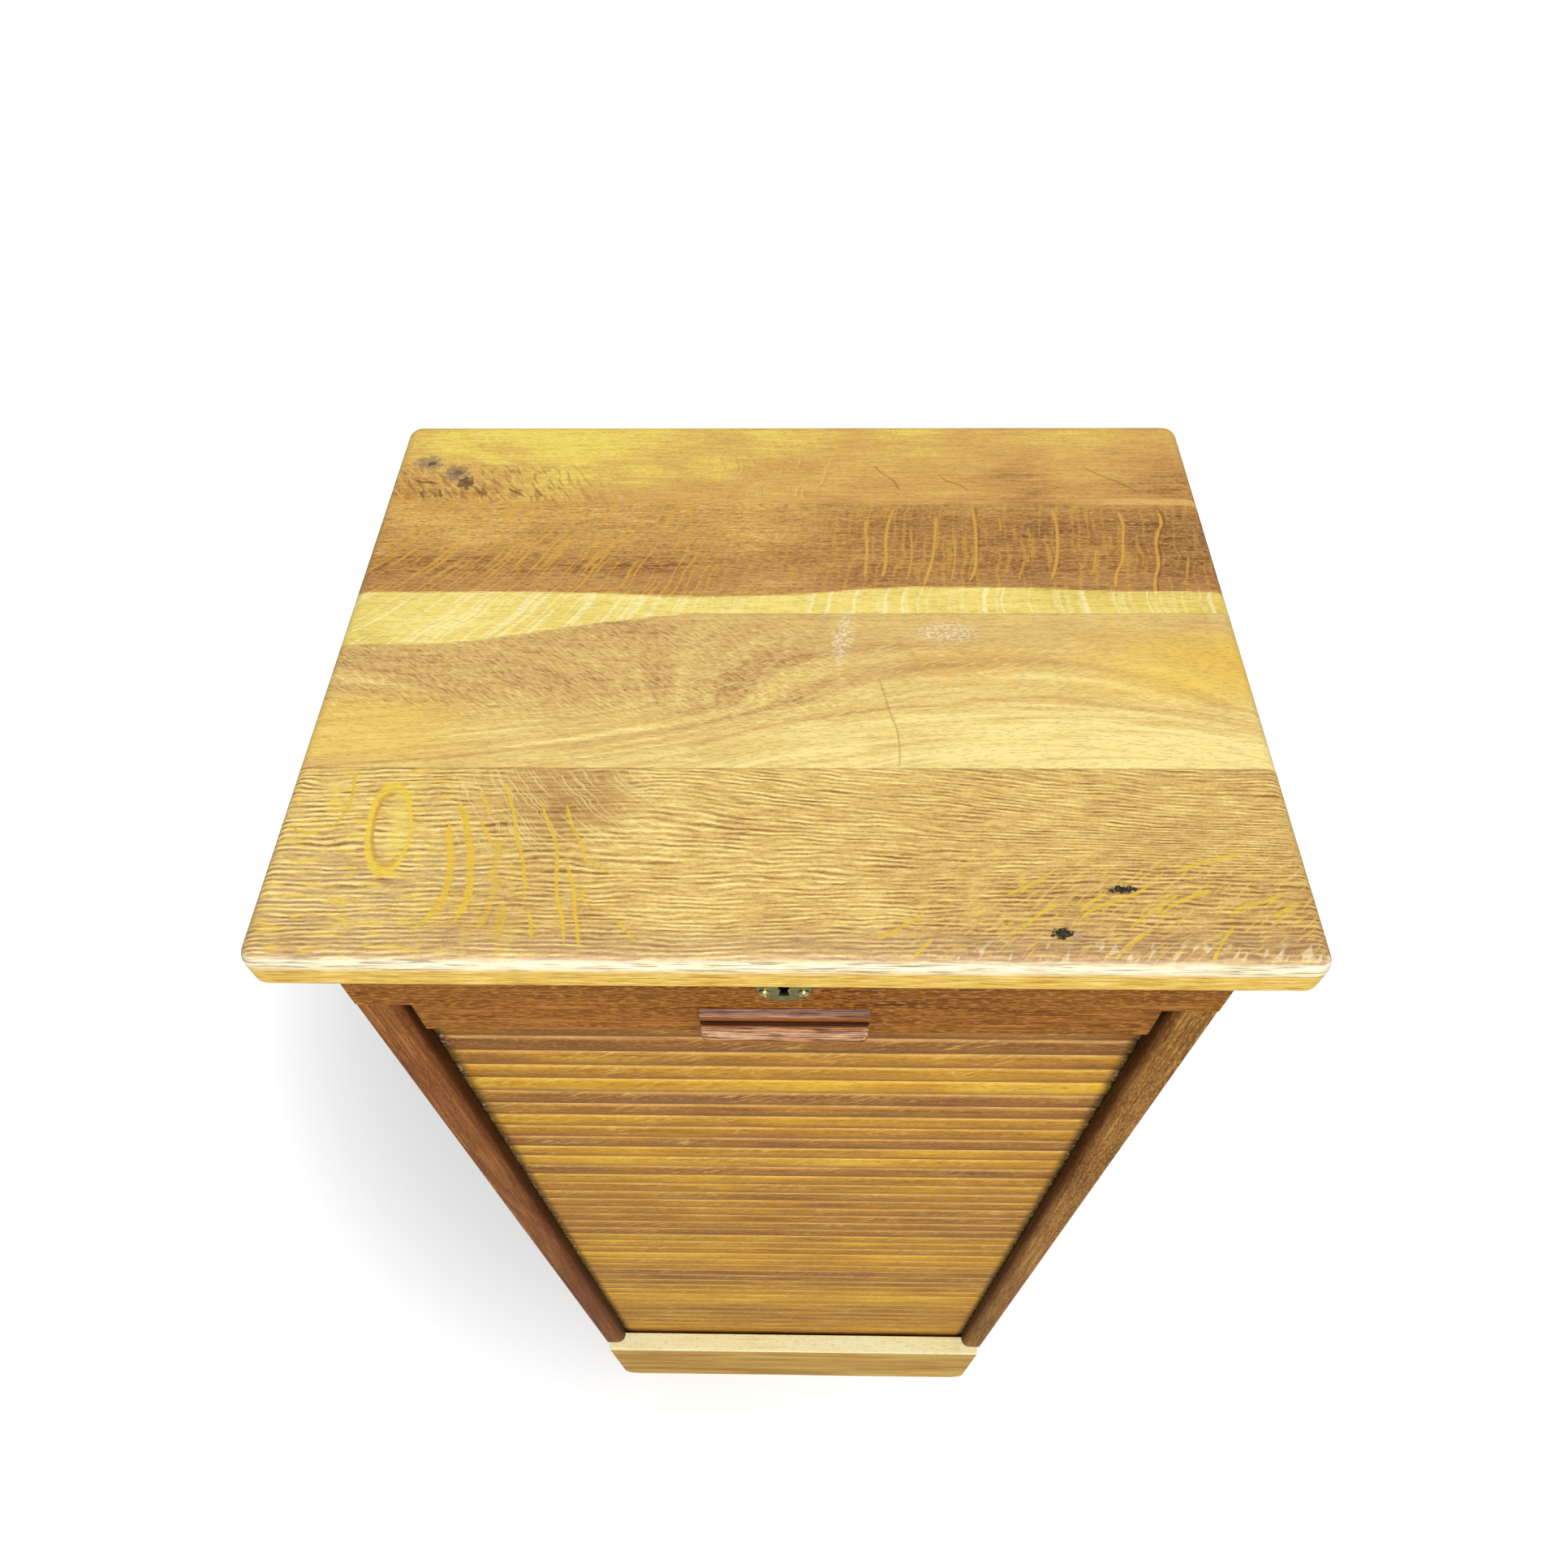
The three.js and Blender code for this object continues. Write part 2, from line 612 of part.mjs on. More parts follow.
// Lock case: a box open at the back, on a wider edge plate that shows under the frieze rail
function lockCase() {
  const half = lockWidth / 2;
  const caseBack = friezeBack - lockCoverThickness - seamGap;
  const caseTop = friezeBottom + lockHeight;
  const shell = block(-half, half, lockFront, caseBack, friezeBottom, caseTop);
  const selvedgeHalf = selvedgeWidth / 2;
  const selvedgeTop = friezeBottom + selvedgeThickness;
  const selvedge = block(-selvedgeHalf, selvedgeHalf, lockFront, caseBack, friezeBottom, selvedgeTop);
  const inner = half - lockWall;
  const behind = caseBack + cutOverrun;
  const cavity = block(-inner, inner, lockFront + lockWall, behind, selvedgeTop, caseTop - lockWall);
  const slotX = loopThickness / 2 + loopSlotGap;
  const slotY = eyeWidth / 2 + loopWall + loopSlotGap;
  const [slotFront, slotRear] = [lockMiddle - slotY, lockMiddle + slotY];
  const slot = block(-slotX, slotX, slotFront, slotRear, friezeBottom - cutOverrun, selvedgeTop + weldDepth);
  const keyhole = keyholeCutters(lockFront - cutOverrun, lockFront + lockWall + weldDepth);
  return piece("lock_case", carved(shell, [selvedge], [cavity, slot, ...keyhole]), "steel");
}

function lockCover() {
  const half = lockWidth / 2;
  const front = friezeBack - lockCoverThickness;
  const cover = block(-half, half, front, friezeBack, friezeBottom, friezeBottom + lockHeight);
  return piece("lock_cover", cover, "steel");
}

// A block whose depth lies evenly about the middle of the lock
function lockBlock(fromX, toX, width, fromZ, toZ) {
  return block(fromX, toX, lockMiddle - width / 2, lockMiddle + width / 2, fromZ, toZ);
}

// Lock bolt: slides sideways on the edge plate, so that its tongue enters the loop's eye
function lockBolt() {
  const tongueEnd = -loopThickness / 2 - boltSetback;
  const tongueStart = tongueEnd - tongueLength;
  const boltStart = tongueStart - boltLength;
  const bottom = friezeBottom + selvedgeThickness + seamGap;
  const top = bottom + boltHeight;
  const body = lockBlock(boltStart, tongueStart, boltWidth, bottom, top);
  const eyeMiddle = leadTop + eyeRise + eyeHeight / 2;
  const [tongueBottom, tongueTop] = [eyeMiddle - tongueHeight / 2, eyeMiddle + tongueHeight / 2];
  const tongue = lockBlock(tongueStart - weldDepth, tongueEnd, tongueWidth, tongueBottom, tongueTop);
  const notchStart = (boltStart + tongueStart - notchWidth) / 2;
  const notchEnd = notchStart + notchWidth;
  const notch = lockBlock(notchStart, notchEnd, boltWidth + cutOverrun, top - notchDepth, top + cutOverrun);
  return piece("lock_bolt", carved(body, [tongue], [notch]), "steel");
}

// Strike plate, let into the lead rail's top, with an upright loop for the bolt
function strikePlate() {
  const halfLength = strikeLength / 2;
  const plate = lockBlock(-halfLength, halfLength, strikeWidth, leadTop - strikeThickness, leadTop);
  const halfLoop = loopThickness / 2;
  const loopWidth = eyeWidth + 2 * loopWall;
  const loop = lockBlock(-halfLoop, halfLoop, loopWidth, leadTop - weldDepth, leadTop + loopHeight);
  const eyeBottom = leadTop + eyeRise;
  const eye = lockBlock(-loopThickness, loopThickness, eyeWidth, eyeBottom, eyeBottom + eyeHeight);
  return piece("strike_plate", carved(plate, [loop], [eye]), "steel");
}

// Lead rail: runs in the tracks by a tongue at each end, and carries the pull and the strike plate
function leadRail() {
  const section = outline([
    [leadFront, leadBottom, brokenArris],
    [leadBack, leadBottom],
    [leadBack, leadTop],
    [leadFront, leadTop, brokenArris],
  ]);
  const half = sideInner - leadEndGap;
  const rail = barAlongX(section, -half, half);
  const tongues = block(-slatEnd, slatEnd, slatFace, slatBack, leadBottom, leadTop);
  const strikeEnd = strikeLength / 2 + seamGap;
  const strikeRoom = strikeWidth + 2 * seamGap;
  const strikeFloor = leadTop - strikeThickness - seamGap;
  const recess = lockBlock(-strikeEnd, strikeEnd, strikeRoom, strikeFloor, leadTop + cutOverrun);
  const cuts = [recess, ...pullScrewHoles()];
  return piece("lead_rail", carved(rail, [tongues], cuts), "brownOak");
}

// Holes for the pull's screws: counterbored in the rail's back, blind in the pull
function pullScrewHoles() {
  const shank = pullScrewShankRadius + seamGap;
  const head = pullScrewHeadRadius + seamGap;
  const end = -pullScrewLength - seamGap;
  const mouth = pullScrewHeadHeight + cutOverrun;
  const shoulder = -seamGap;
  const profile = [[0, end], [shank, end], [shank, shoulder], [head, shoulder], [head, mouth], [0, mouth]];
  return [-1, 1].map((side) =>
    turned(profile, side * pullScrewSpacing / 2, pullScrewSeat, pullScrewHeight, true, screwSides));
}

function pullScrews() {
  const x = pullScrewSpacing / 2;
  const shank = pullScrewShankRadius;
  const profile = screwProfile(pullScrewHeadRadius, pullScrewHeadHeight, shank, pullScrewLength);
  const [slotFloor, slotMouth] = [leadBack - screwSlotDepth, leadBack + cutOverrun];
  const slot = screwSlot(x, slotFloor, slotMouth, pullScrewHeight, pullScrewHeadRadius);
  const screw = turned(profile, x, pullScrewSeat, pullScrewHeight, true, screwSides);
  return pair("pull_screw", carved(screw, [], [slot]), "steel");
}

// Pull: a short moulded strip with a finger groove; the lower corners of its lip are rounded
function pull() {
  const corners = pullSectionShares.map(([forward, down]) =>
    [pullBack - forward * pullProjection, pullTop - down * pullHeight]);
  const half = pullWidth / 2;
  const bottom = pullTop - pullHeight;
  const strip = barAlongX(outline(corners), -half, half);
  const elevation = outline([
    [-half, bottom, pullLipRadius],
    [half, bottom, pullLipRadius],
    [half, pullTop],
    [-half, pullTop],
  ]);
  const trimmer = barAlongY(elevation, pullBack - pullProjection - cutOverrun, pullBack + cutOverrun);
  const trimmed = geometryOf(solid(strip).intersect(solid(trimmer)));
  return piece("pull", carved(trimmed, [], pullScrewHoles()), "pullOak");
}

const carcase = new THREE.Group();
carcase.add(topBoard(), friezeRail(), ...sidePanels(), plinthBoard(), ...plinthBlocks());
carcase.add(...carcaseBoards(), ...trayGuides());

const lock = new THREE.Group();
lock.add(escutcheon(), ...plateScrews(), lockCase(), lockCover(), lockBolt());

const shutter = new THREE.Group();
shutter.add(leadRail(), pull(), ...pullScrews(), strikePlate(), ...shutterSections());

const cabinet = new THREE.Group();
cabinet.add(carcase, lock, shutter, ...trays());

export default cabinet;
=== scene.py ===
# An oak tambour cabinet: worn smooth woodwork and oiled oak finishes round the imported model.
# Metres, front towards -Y. Patterns are written in millimetres, from the piece's own coordinates.
import math
import bmesh
import bpy
import numpy as np
from mathutils import Matrix, Vector


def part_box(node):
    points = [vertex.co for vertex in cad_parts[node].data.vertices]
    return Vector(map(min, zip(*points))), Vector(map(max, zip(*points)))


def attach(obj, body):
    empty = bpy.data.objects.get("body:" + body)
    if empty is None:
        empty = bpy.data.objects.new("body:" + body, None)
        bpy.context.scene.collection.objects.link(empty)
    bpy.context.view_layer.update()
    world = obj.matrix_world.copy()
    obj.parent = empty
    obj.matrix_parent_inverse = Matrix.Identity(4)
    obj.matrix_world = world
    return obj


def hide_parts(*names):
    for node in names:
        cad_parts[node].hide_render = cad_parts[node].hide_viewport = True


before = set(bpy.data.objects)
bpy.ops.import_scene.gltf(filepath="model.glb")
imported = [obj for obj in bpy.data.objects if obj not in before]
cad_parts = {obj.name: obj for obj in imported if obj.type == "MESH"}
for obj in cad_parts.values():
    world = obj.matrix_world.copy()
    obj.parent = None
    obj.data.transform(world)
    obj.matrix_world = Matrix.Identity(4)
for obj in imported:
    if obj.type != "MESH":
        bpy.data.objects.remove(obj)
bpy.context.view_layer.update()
mm = 0.001


# A number that varies over a surface, kept as socket × scale + shift, so that + - * / seldom need a node
class Number:
    def __init__(self, recipe, socket, scale=1, shift=0):
        self.recipe, self.socket, self.scale, self.shift = recipe, socket, scale, shift

    def but(self, scale=1, shift=0):  # the same socket with another scale and shift
        return Number(self.recipe, self.socket, scale, shift)

    def plain(self):  # the same number as a socket of its own
        if (self.scale, self.shift) != (1, 0):
            self.socket = self.recipe.math("MULTIPLY_ADD", self.but(), self.scale, self.shift).socket
            self.scale, self.shift = 1, 0
        return self.socket

    def __add__(self, other):
        if not isinstance(other, Number):
            return self.but(self.scale, self.shift + other)
        total = self.recipe.math("MULTIPLY_ADD", other.but(), other.scale / self.scale, self.but())
        return total.but(self.scale, self.shift + other.shift)

    def __mul__(self, other):
        if not isinstance(other, Number):
            return self.but(self.scale * other, self.shift * other)
        scale = 1
        for number in (self, other):
            if number.shift == 0:
                scale *= number.scale
            else:
                number.plain()
        return self.recipe.math("MULTIPLY", self.but(), other.but()).but(scale)

    def __sub__(self, other):
        return self + other * -1

    def __rsub__(self, other):
        return self * -1 + other

    def __truediv__(self, other):
        return self.recipe.math("DIVIDE", self, other) if isinstance(other, Number) else self * (1 / other)

    def __abs__(self):
        return self.recipe.math("ABSOLUTE", self)

    __radd__, __rmul__ = __add__, __mul__

    def after(self, number):  # worked out only once the other is known, so that fewer are held at a time
        return self + number * 1e-9

    def clipped(self):  # kept from 0 to 1
        clipped = self.recipe.math("MULTIPLY_ADD", self.but(), self.scale, self.shift)
        clipped.socket.node.use_clamp = True
        return clipped

    def wave(self):  # a sine that goes round once for each 1
        return self.recipe.math("SINE", self * (2 * math.pi))

    def ranged(self, kind, low, high):  # 0 at low and 1 at high; low may be the larger
        low, high = (float((edge - self.shift) / self.scale) for edge in (low, high))
        node = self.recipe.add("ShaderNodeMapRange", self.but(), low, high, interpolation_type=kind)
        return Number(self.recipe, node.outputs["Result"])

    def fade(self, low, high):  # 0 below low and 1 above high, smooth between
        return self.ranged("SMOOTHSTEP", low, high)

    def near(self, middle, reach):  # 1 at the middle, falling to 0 at that reach
        return abs(self - middle).fade(reach, 0)

    def within(self, low, high, soft):  # 1 from low to high, with soft ends
        return self.fade(low - soft, low + soft) * self.fade(high + soft, high - soft)

    def follow(self, points):  # a smooth curve through points (this number, result)
        node = self.recipe.add("ShaderNodeFloatCurve")
        ins, outs = np.array(sorted(points), float).T
        span = max(np.ptp(outs), 1e-6)
        curve = node.mapping.curves[0]
        for i, spot in enumerate(zip((ins - ins[0]) / np.ptp(ins), (outs - outs.min()) / span)):
            if i == 0 or i == len(ins) - 1:
                curve.points[min(i, 1) * (len(curve.points) - 1)].location = spot
            else:
                curve.points.new(*spot)
        node.mapping.update()
        self.recipe.plug(node.inputs["Value"], self.ranged("LINEAR", ins[0], ins[-1]))
        return Number(self.recipe, node.outputs["Value"], float(span), float(outs.min()))


# The nodes of a material or of the world
class Tree:
    def __init__(self, owner):
        owner.use_nodes = True
        self.nodes, self.links = owner.node_tree.nodes, owner.node_tree.links

    def plug(self, socket, value):
        if isinstance(value, Number):
            value = value.plain()
        if isinstance(value, bpy.types.NodeSocket):
            self.links.new(value, socket)
        else:
            socket.default_value = value

    def add(self, kind, *values, **settings):  # a new node, with values for its first inputs
        node = self.nodes.new(kind)
        for key, setting in settings.items():
            setattr(node, key, setting)
        for socket, value in zip(node.inputs, values):
            self.plug(socket, value)
        return node


# One material, written as sums on x, y and z in millimetres
class Recipe(Tree):
    def __init__(self, name, roughness=0.5, shine=0.07, metal=0):
        self.material = bpy.data.materials.new(name)
        super().__init__(self.material)
        self.shader = self.nodes["Principled BSDF"]
        for key, value in (("Roughness", roughness), ("Specular IOR Level", shine), ("Metallic", metal)):
            self.shader.inputs[key].default_value = value
        parts = self.add("ShaderNodeSeparateXYZ", self.add("ShaderNodeTexCoord").outputs["Object"]).outputs
        self.x, self.y, self.z = (Number(self, part, 1 / mm) for part in parts)

    def math(self, operation, *values):
        return Number(self, self.add("ShaderNodeMath", *values, operation=operation).outputs[0])

    def most(self, *values):
        result = values[0]
        for value in values[1:]:
            result = self.math("MAXIMUM", result, value)
        return result

    def noise(self, x, y, z=0, detail=2, rough=0.5):  # one lump of noise for each 1 along x, y and z
        place = self.add("ShaderNodeCombineXYZ", x, y, z).outputs[0]
        node = self.add("ShaderNodeTexNoise", place)
        for key, value in (("Scale", 1), ("Detail", detail), ("Roughness", rough)):
            node.inputs[key].default_value = value
        return Number(self, node.outputs["Fac"])

    def dashes(self, along, across, length, pitch, level, deep=0, soft=0.06):
        # Short lines: noise drawn out along their length, kept only where it is high
        return self.noise(along / length, across / pitch, deep, detail=1).fade(level, level + soft)

    def turned(self, x, y, degrees):  # x and y read along and across a line at that angle
        c, s = math.cos(math.radians(degrees)), math.sin(math.radians(degrees))
        return x * c + y * s, y * c - x * s

    def reach(self, dx, dy):  # length of (dx, dy)
        return self.math("SQRT", dx * dx + dy * dy)

    def stroke(self, x, y, points, width, soft=0.6, taper=0.3):
        # A drawn line: x follows y through the points, or y follows x where that turns back, and its
        # ends thin out
        spots = np.array(points, float)
        steps = np.diff(spots, axis=0)
        onward = [np.all(steps[:, k] > 0) or np.all(steps[:, k] < 0) for k in (0, 1)]
        k = int(onward[1] and (not onward[0] or np.ptp(spots[:, 1]) > np.ptp(spots[:, 0])))
        along, across = ((x, y), (y, x))[k]
        low, high = spots[:, k].min(), spots[:, k].max()
        half = float(high - low) / 2
        thin = abs(along - float(low + half)).fade(half, half * (1 - taper))
        off = abs(across - along.follow(spots[:, [k, 1 - k]].tolist()))
        return (thin * ((width + soft) / 2) - off).fade(0, soft)

    def strokes(self, x, y, lines, width, **shape):
        drawn = 0
        for points in lines:  # joined one by one, so that few numbers are held at a time
            drawn = self.most(self.stroke(x, y, points, width, **shape), drawn)
        return drawn

    def blots(self, x, y, spots, ragged):  # 1 inside ragged spots (x, y, half width, half height, share)
        return self.most(*(((1 - self.reach((x - a) / wide, (y - b) / high)) + ragged).fade(-0.12, 0.3)
                           * share
                           for a, b, wide, high, share in spots))

    def attribute(self, name):
        return Number(self, self.add("ShaderNodeAttribute", attribute_name=name).outputs["Fac"])

    def shades(self, tone, *codes):  # colours spread evenly over tones 0 to 1
        node = self.add("ShaderNodeValToRGB", tone)
        stops = node.color_ramp.elements
        while len(stops) < len(codes):
            stops.new(0.5)
        for i, code in enumerate(codes):
            stops[i].position = i / (len(codes) - 1)
            stops[i].color = linear(code)
        return node.outputs["Color"]

    def mix(self, share, first, second):
        node = self.add("ShaderNodeMix", data_type="RGBA")
        sockets = [s for s in node.inputs if s.enabled]
        for socket, value in zip(sockets, (share, first, second)):
            self.plug(socket, linear(value) if isinstance(value, str) else value)
        return next(s for s in node.outputs if s.enabled)

    def tint(self, share, code):  # mixes another colour into this material's own
        self.colour = self.mix(share, self.colour, code)

    def finish(self, height, depth, roughness=None):  # depth of the relief in millimetres
        self.plug(self.shader.inputs["Base Color"], self.colour)
        if roughness is not None:
            self.plug(self.shader.inputs["Roughness"], roughness)
        relief = self.add("ShaderNodeBump")
        relief.inputs["Distance"].default_value = depth * mm
        self.plug(relief.inputs["Height"], height)
        self.links.new(relief.outputs[0], self.shader.inputs["Normal"])
        return self.material


def linear(code):  # "#rrggbb" as the linear light that Blender mixes in
    shares = np.array([int(code[i:i + 2], 16) for i in (1, 3, 5)]) / 255
    light = np.where(shares <= 0.04045, shares / 12.92, ((shares + 0.055) / 1.055) ** 2.4)
    return (*map(float, light), 1)


viewpoint = dict(place=(8.7 * mm, -392.1 * mm, 1571.2 * mm), down=54.122, turn=1.676, roll=-1.0855,
                 lens=25.894, sensor=36, nearest=0.02)
# The floor glows white for the eye, but less within glowRadius of shade: a painted shade round the cabinet
room = dict(sky=0.42, floorColour="#bebebe", floorHalf=9, floorGlow=(0.31, 0.98), glowRadius=(0.43, 0.95),
            shade=(-0.14, 0.45, 0))
lamps = {
    "overhead": dict(place=(0.35, -1.6, 3.6), towards=(0, 0, 0.9), size=1.4, power=63),
    "window": dict(place=(0.2, -3.2, 1.9), towards=(0, 0, 0.6), size=1.8, power=32),
}


def linked(name, data):  # a new object in the scene
    thing = bpy.data.objects.new(name, data)
    bpy.context.scene.collection.objects.link(thing)
    return thing


def setCamera():
    data = bpy.data.cameras.new("camera")
    data.lens, data.sensor_width = viewpoint["lens"], viewpoint["sensor"]
    data.clip_start = viewpoint["nearest"]
    camera = linked("camera", data)
    pose = Matrix.Translation(viewpoint["place"])
    for degrees, axis in zip((viewpoint["turn"], 90 - viewpoint["down"], viewpoint["roll"]), "ZXZ"):
        pose = pose @ Matrix.Rotation(math.radians(degrees), 4, axis)
    camera.matrix_world = pose
    bpy.context.scene.camera = camera


def setLight():
    world = bpy.data.worlds.new("room")
    bpy.context.scene.world = world
    tree = Tree(world)
    sky, seen = tree.nodes["Background"], tree.add("ShaderNodeBackground")
    for node, strength in ((sky, room["sky"]), (seen, 1)):  # lit by the sky, but white to the eye
        node.inputs["Color"].default_value, node.inputs["Strength"].default_value = (1, 1, 1, 1), strength
    eye = tree.add("ShaderNodeLightPath").outputs["Is Camera Ray"]
    mixed = tree.add("ShaderNodeMixShader", eye, sky.outputs[0], seen.outputs[0])
    tree.links.new(mixed.outputs[0], tree.nodes["World Output"].inputs[0])
    for name, lamp in lamps.items():
        data = bpy.data.lights.new(name, "AREA")
        data.shape, data.size, data.energy = "DISK", lamp["size"], lamp["power"]
        aim = (Vector(lamp["towards"]) - Vector(lamp["place"])).to_track_quat("-Z", "Y").to_matrix().to_4x4()
        linked(name, data).matrix_world = Matrix.Translation(lamp["place"]) @ aim


def layFloor():
    half = room["floorHalf"]
    mesh = bpy.data.meshes.new("floor")
    corners = [(x * half, y * half, 0) for x, y in ((-1, -1), (1, -1), (1, 1), (-1, 1))]
    mesh.from_pydata(corners, [], [(0, 1, 2, 3)])
    material = bpy.data.materials.new("paleFloor")
    tree = Tree(material)
    tree.nodes.remove(tree.nodes["Principled BSDF"])
    matt = tree.add("ShaderNodeBsdfDiffuse", linear(room["floorColour"]))
    place = tree.add("ShaderNodeTexCoord").outputs["Object"]
    away = tree.add("ShaderNodeVectorMath", place, room["shade"], operation="DISTANCE").outputs["Value"]
    rise = tree.add("ShaderNodeMapRange", away, *room["glowRadius"], *room["floorGlow"],
                    interpolation_type="SMOOTHSTEP").outputs["Result"]
    eye = tree.add("ShaderNodeLightPath").outputs["Is Camera Ray"]
    seen = tree.add("ShaderNodeMath", eye, rise, operation="MULTIPLY").outputs[0]
    glow = tree.add("ShaderNodeEmission")  # lifts the floor towards white for the eye, fully at a distance, and less round the point shade, which paints a shade round the cabinet's base
    tree.links.new(seen, glow.inputs["Strength"])
    both = tree.add("ShaderNodeAddShader", matt.outputs[0], glow.outputs[0])
    tree.links.new(both.outputs[0], tree.nodes["Material Output"].inputs[0])
    mesh.materials.append(material)
    floor = linked("floor", mesh)


bpy.context.scene.view_settings.view_transform = "Standard"
setCamera()
setLight()
layFloor()
print("camera, lamps and floor are set")


# Oak in general: tone from broad drift, bent growth rings and fine streaks; pores darken it and short
# dashes lighten it
def oak(name, codes, grain="x", seed=0, ringWidth=9, contrast=1, roughness=0.5, dashes=0.35,
        crossed=None, dark=None, depth=0.14):
    r = Recipe(name, roughness=roughness)
    axes = {"x": r.x, "y": r.y, "z": r.z}
    a = axes.pop(grain) + seed
    b, c = (axis + seed * 1.7 for axis in axes.values())
    if crossed is not None:  # past this distance from the middle the grain turns along y
        turn = abs(r.x).fade(crossed - 0.1, crossed + 0.1)
        a, b = a + (b - a) * turn, b + (a - b) * turn
    drift = r.noise(a / 190, b / 60, c / 60)
    streaks = r.noise(a / 55, b / 1.5, c / 1.5, detail=3, rough=0.6)
    bend = r.noise(a / 260, b / 50, c / 50)
    rings = ((b + c) / ringWidth + bend * 6).wave()
    tone = (drift - 0.5) * (1.5 * contrast) + (streaks - 0.5) * (2.4 * contrast)
    tone = tone + rings * (0.1 * contrast) + 0.5
    r.colour = r.shades(tone.clipped(), *codes)
    pores = r.dashes(a, b, 6, 0.42, 0.6, deep=c / 0.42, soft=0.1)
    r.tint(pores * 0.55, codes[0])
    light = r.dashes(a, b, 5, 1.2, 0.52, deep=c / 1.2, soft=0.08)
    r.tint(light * dashes, codes[-1])
    for share, code in dark(r) if dark else ():
        r.tint(share, code)
    return r.finish(streaks * 0.5 - pores, depth)


def stileShade(r):  # painted shade on the inner rounding beside the shutter, over some darker red-brown of its own, a black painted shadow at its inner edge, and darker towards the bottom
    return ((abs(r.x).fade(197, 190.5) * r.y.fade(-90, -140) * 0.7, "#551f06"),
            (abs(r.x).fade(192.5, 191) * r.y.fade(-100, -140) * 0.6, "#1c0a03"),
            (r.z.fade(900, 100) * 0.22, "#6d4318"))


def railShade(r):  # painted shade under the top's overhang, and a black painted shadow in the keyhole
    # The keyhole's opening in the rail, painted black as the shadow inside it
    hole = r.reach(r.x, r.z - 1084.1).fade(9.5, 9) * r.y.fade(-150, -156)
    return (r.z.fade(1112, 1128) * 0.35, "#5e3210"), (hole, "#080403")


finishes = {
    "friezeOak": oak("friezeOak", ("#5a2c0a", "#7d4915", "#8f5a1c", "#b87c38"), "x", 11, 14, 0.85,
                     dashes=0.85,
                     dark=railShade),
    "leadOak": oak("leadOak", ("#61330b", "#7e4a14", "#8f591a", "#b97c39"), "x", 23, 12, 0.9, dashes=0.7),
    # The left stile gets darker colours than the right: partly their own colour, partly painted shade
    "leftStileOak": oak("leftStileOak", ("#5e3010", "#7e4920", "#8f5828", "#ae743e"), "z", 37, 12, 0.8,
                        dashes=0.2, dark=stileShade),
    "rightStileOak": oak("rightStileOak", ("#6a4016", "#8a5c25", "#9b6c30", "#c8974e"), "z", 61, 9, 0.9,
                         dashes=0.5, dark=stileShade),
    "trayOak": oak("trayOak", ("#b08a55", "#cda878", "#dabc8c", "#ead6ab"), "x", 71, 10, 0.7, 0.6,
                   crossed=174),
    "innerOak": oak("innerOak", ("#8d6434", "#b08650", "#c0985f", "#d9b682"), "x", 83, 10, 0.8, 0.6),
    "guideOak": oak("guideOak", ("#9d7342", "#bd945c", "#cba66e", "#e0c08c"), "y", 97, 10, 0.8, 0.6),
    "plyWood": oak("plyWood", ("#a0794a", "#be9a68", "#ccab79", "#e0c598"), "z", 91, 30, 0.8, 0.65, 0.2),
    "floorPly": oak("floorPly", ("#b08a5a", "#cbaa7c", "#d8bb8e", "#e8d0a6"), "x", 107, 26, 0.7, 0.62, 0.2),
}


def plinthRecipe():
    r = Recipe("plinthOak", roughness=0.45)
    streaks = r.noise(r.x / 70, r.y / 2, r.z / 2, detail=3)
    drift = r.noise(r.x / 120, r.y / 30, r.z / 18)
    tone = (0.5 + (streaks - 0.5) * 2 + (drift - 0.5) * 1.5).clipped()
    front = r.shades(tone, "#a07022", "#c89a44", "#daae50", "#ebc76c")
    # The ledge's up-facing top is painted much lighter than the front: a painted highlight of the light from
    # above
    litLedge = r.shades(tone, "#f6dc9c", "#fff2b8", "#fff8c6", "#fffcd8")
    r.colour = r.mix(r.z.fade(158.8, 160.6), front, litLedge)
    pores = r.dashes(r.x, r.z, 7, 0.5, 0.6, deep=r.y / 0.5, soft=0.1)
    r.tint(pores * 0.3, "#96692c")
    return r.finish(streaks * 0.4 - pores, 0.12)


finishes["plinthOak"] = plinthRecipe()


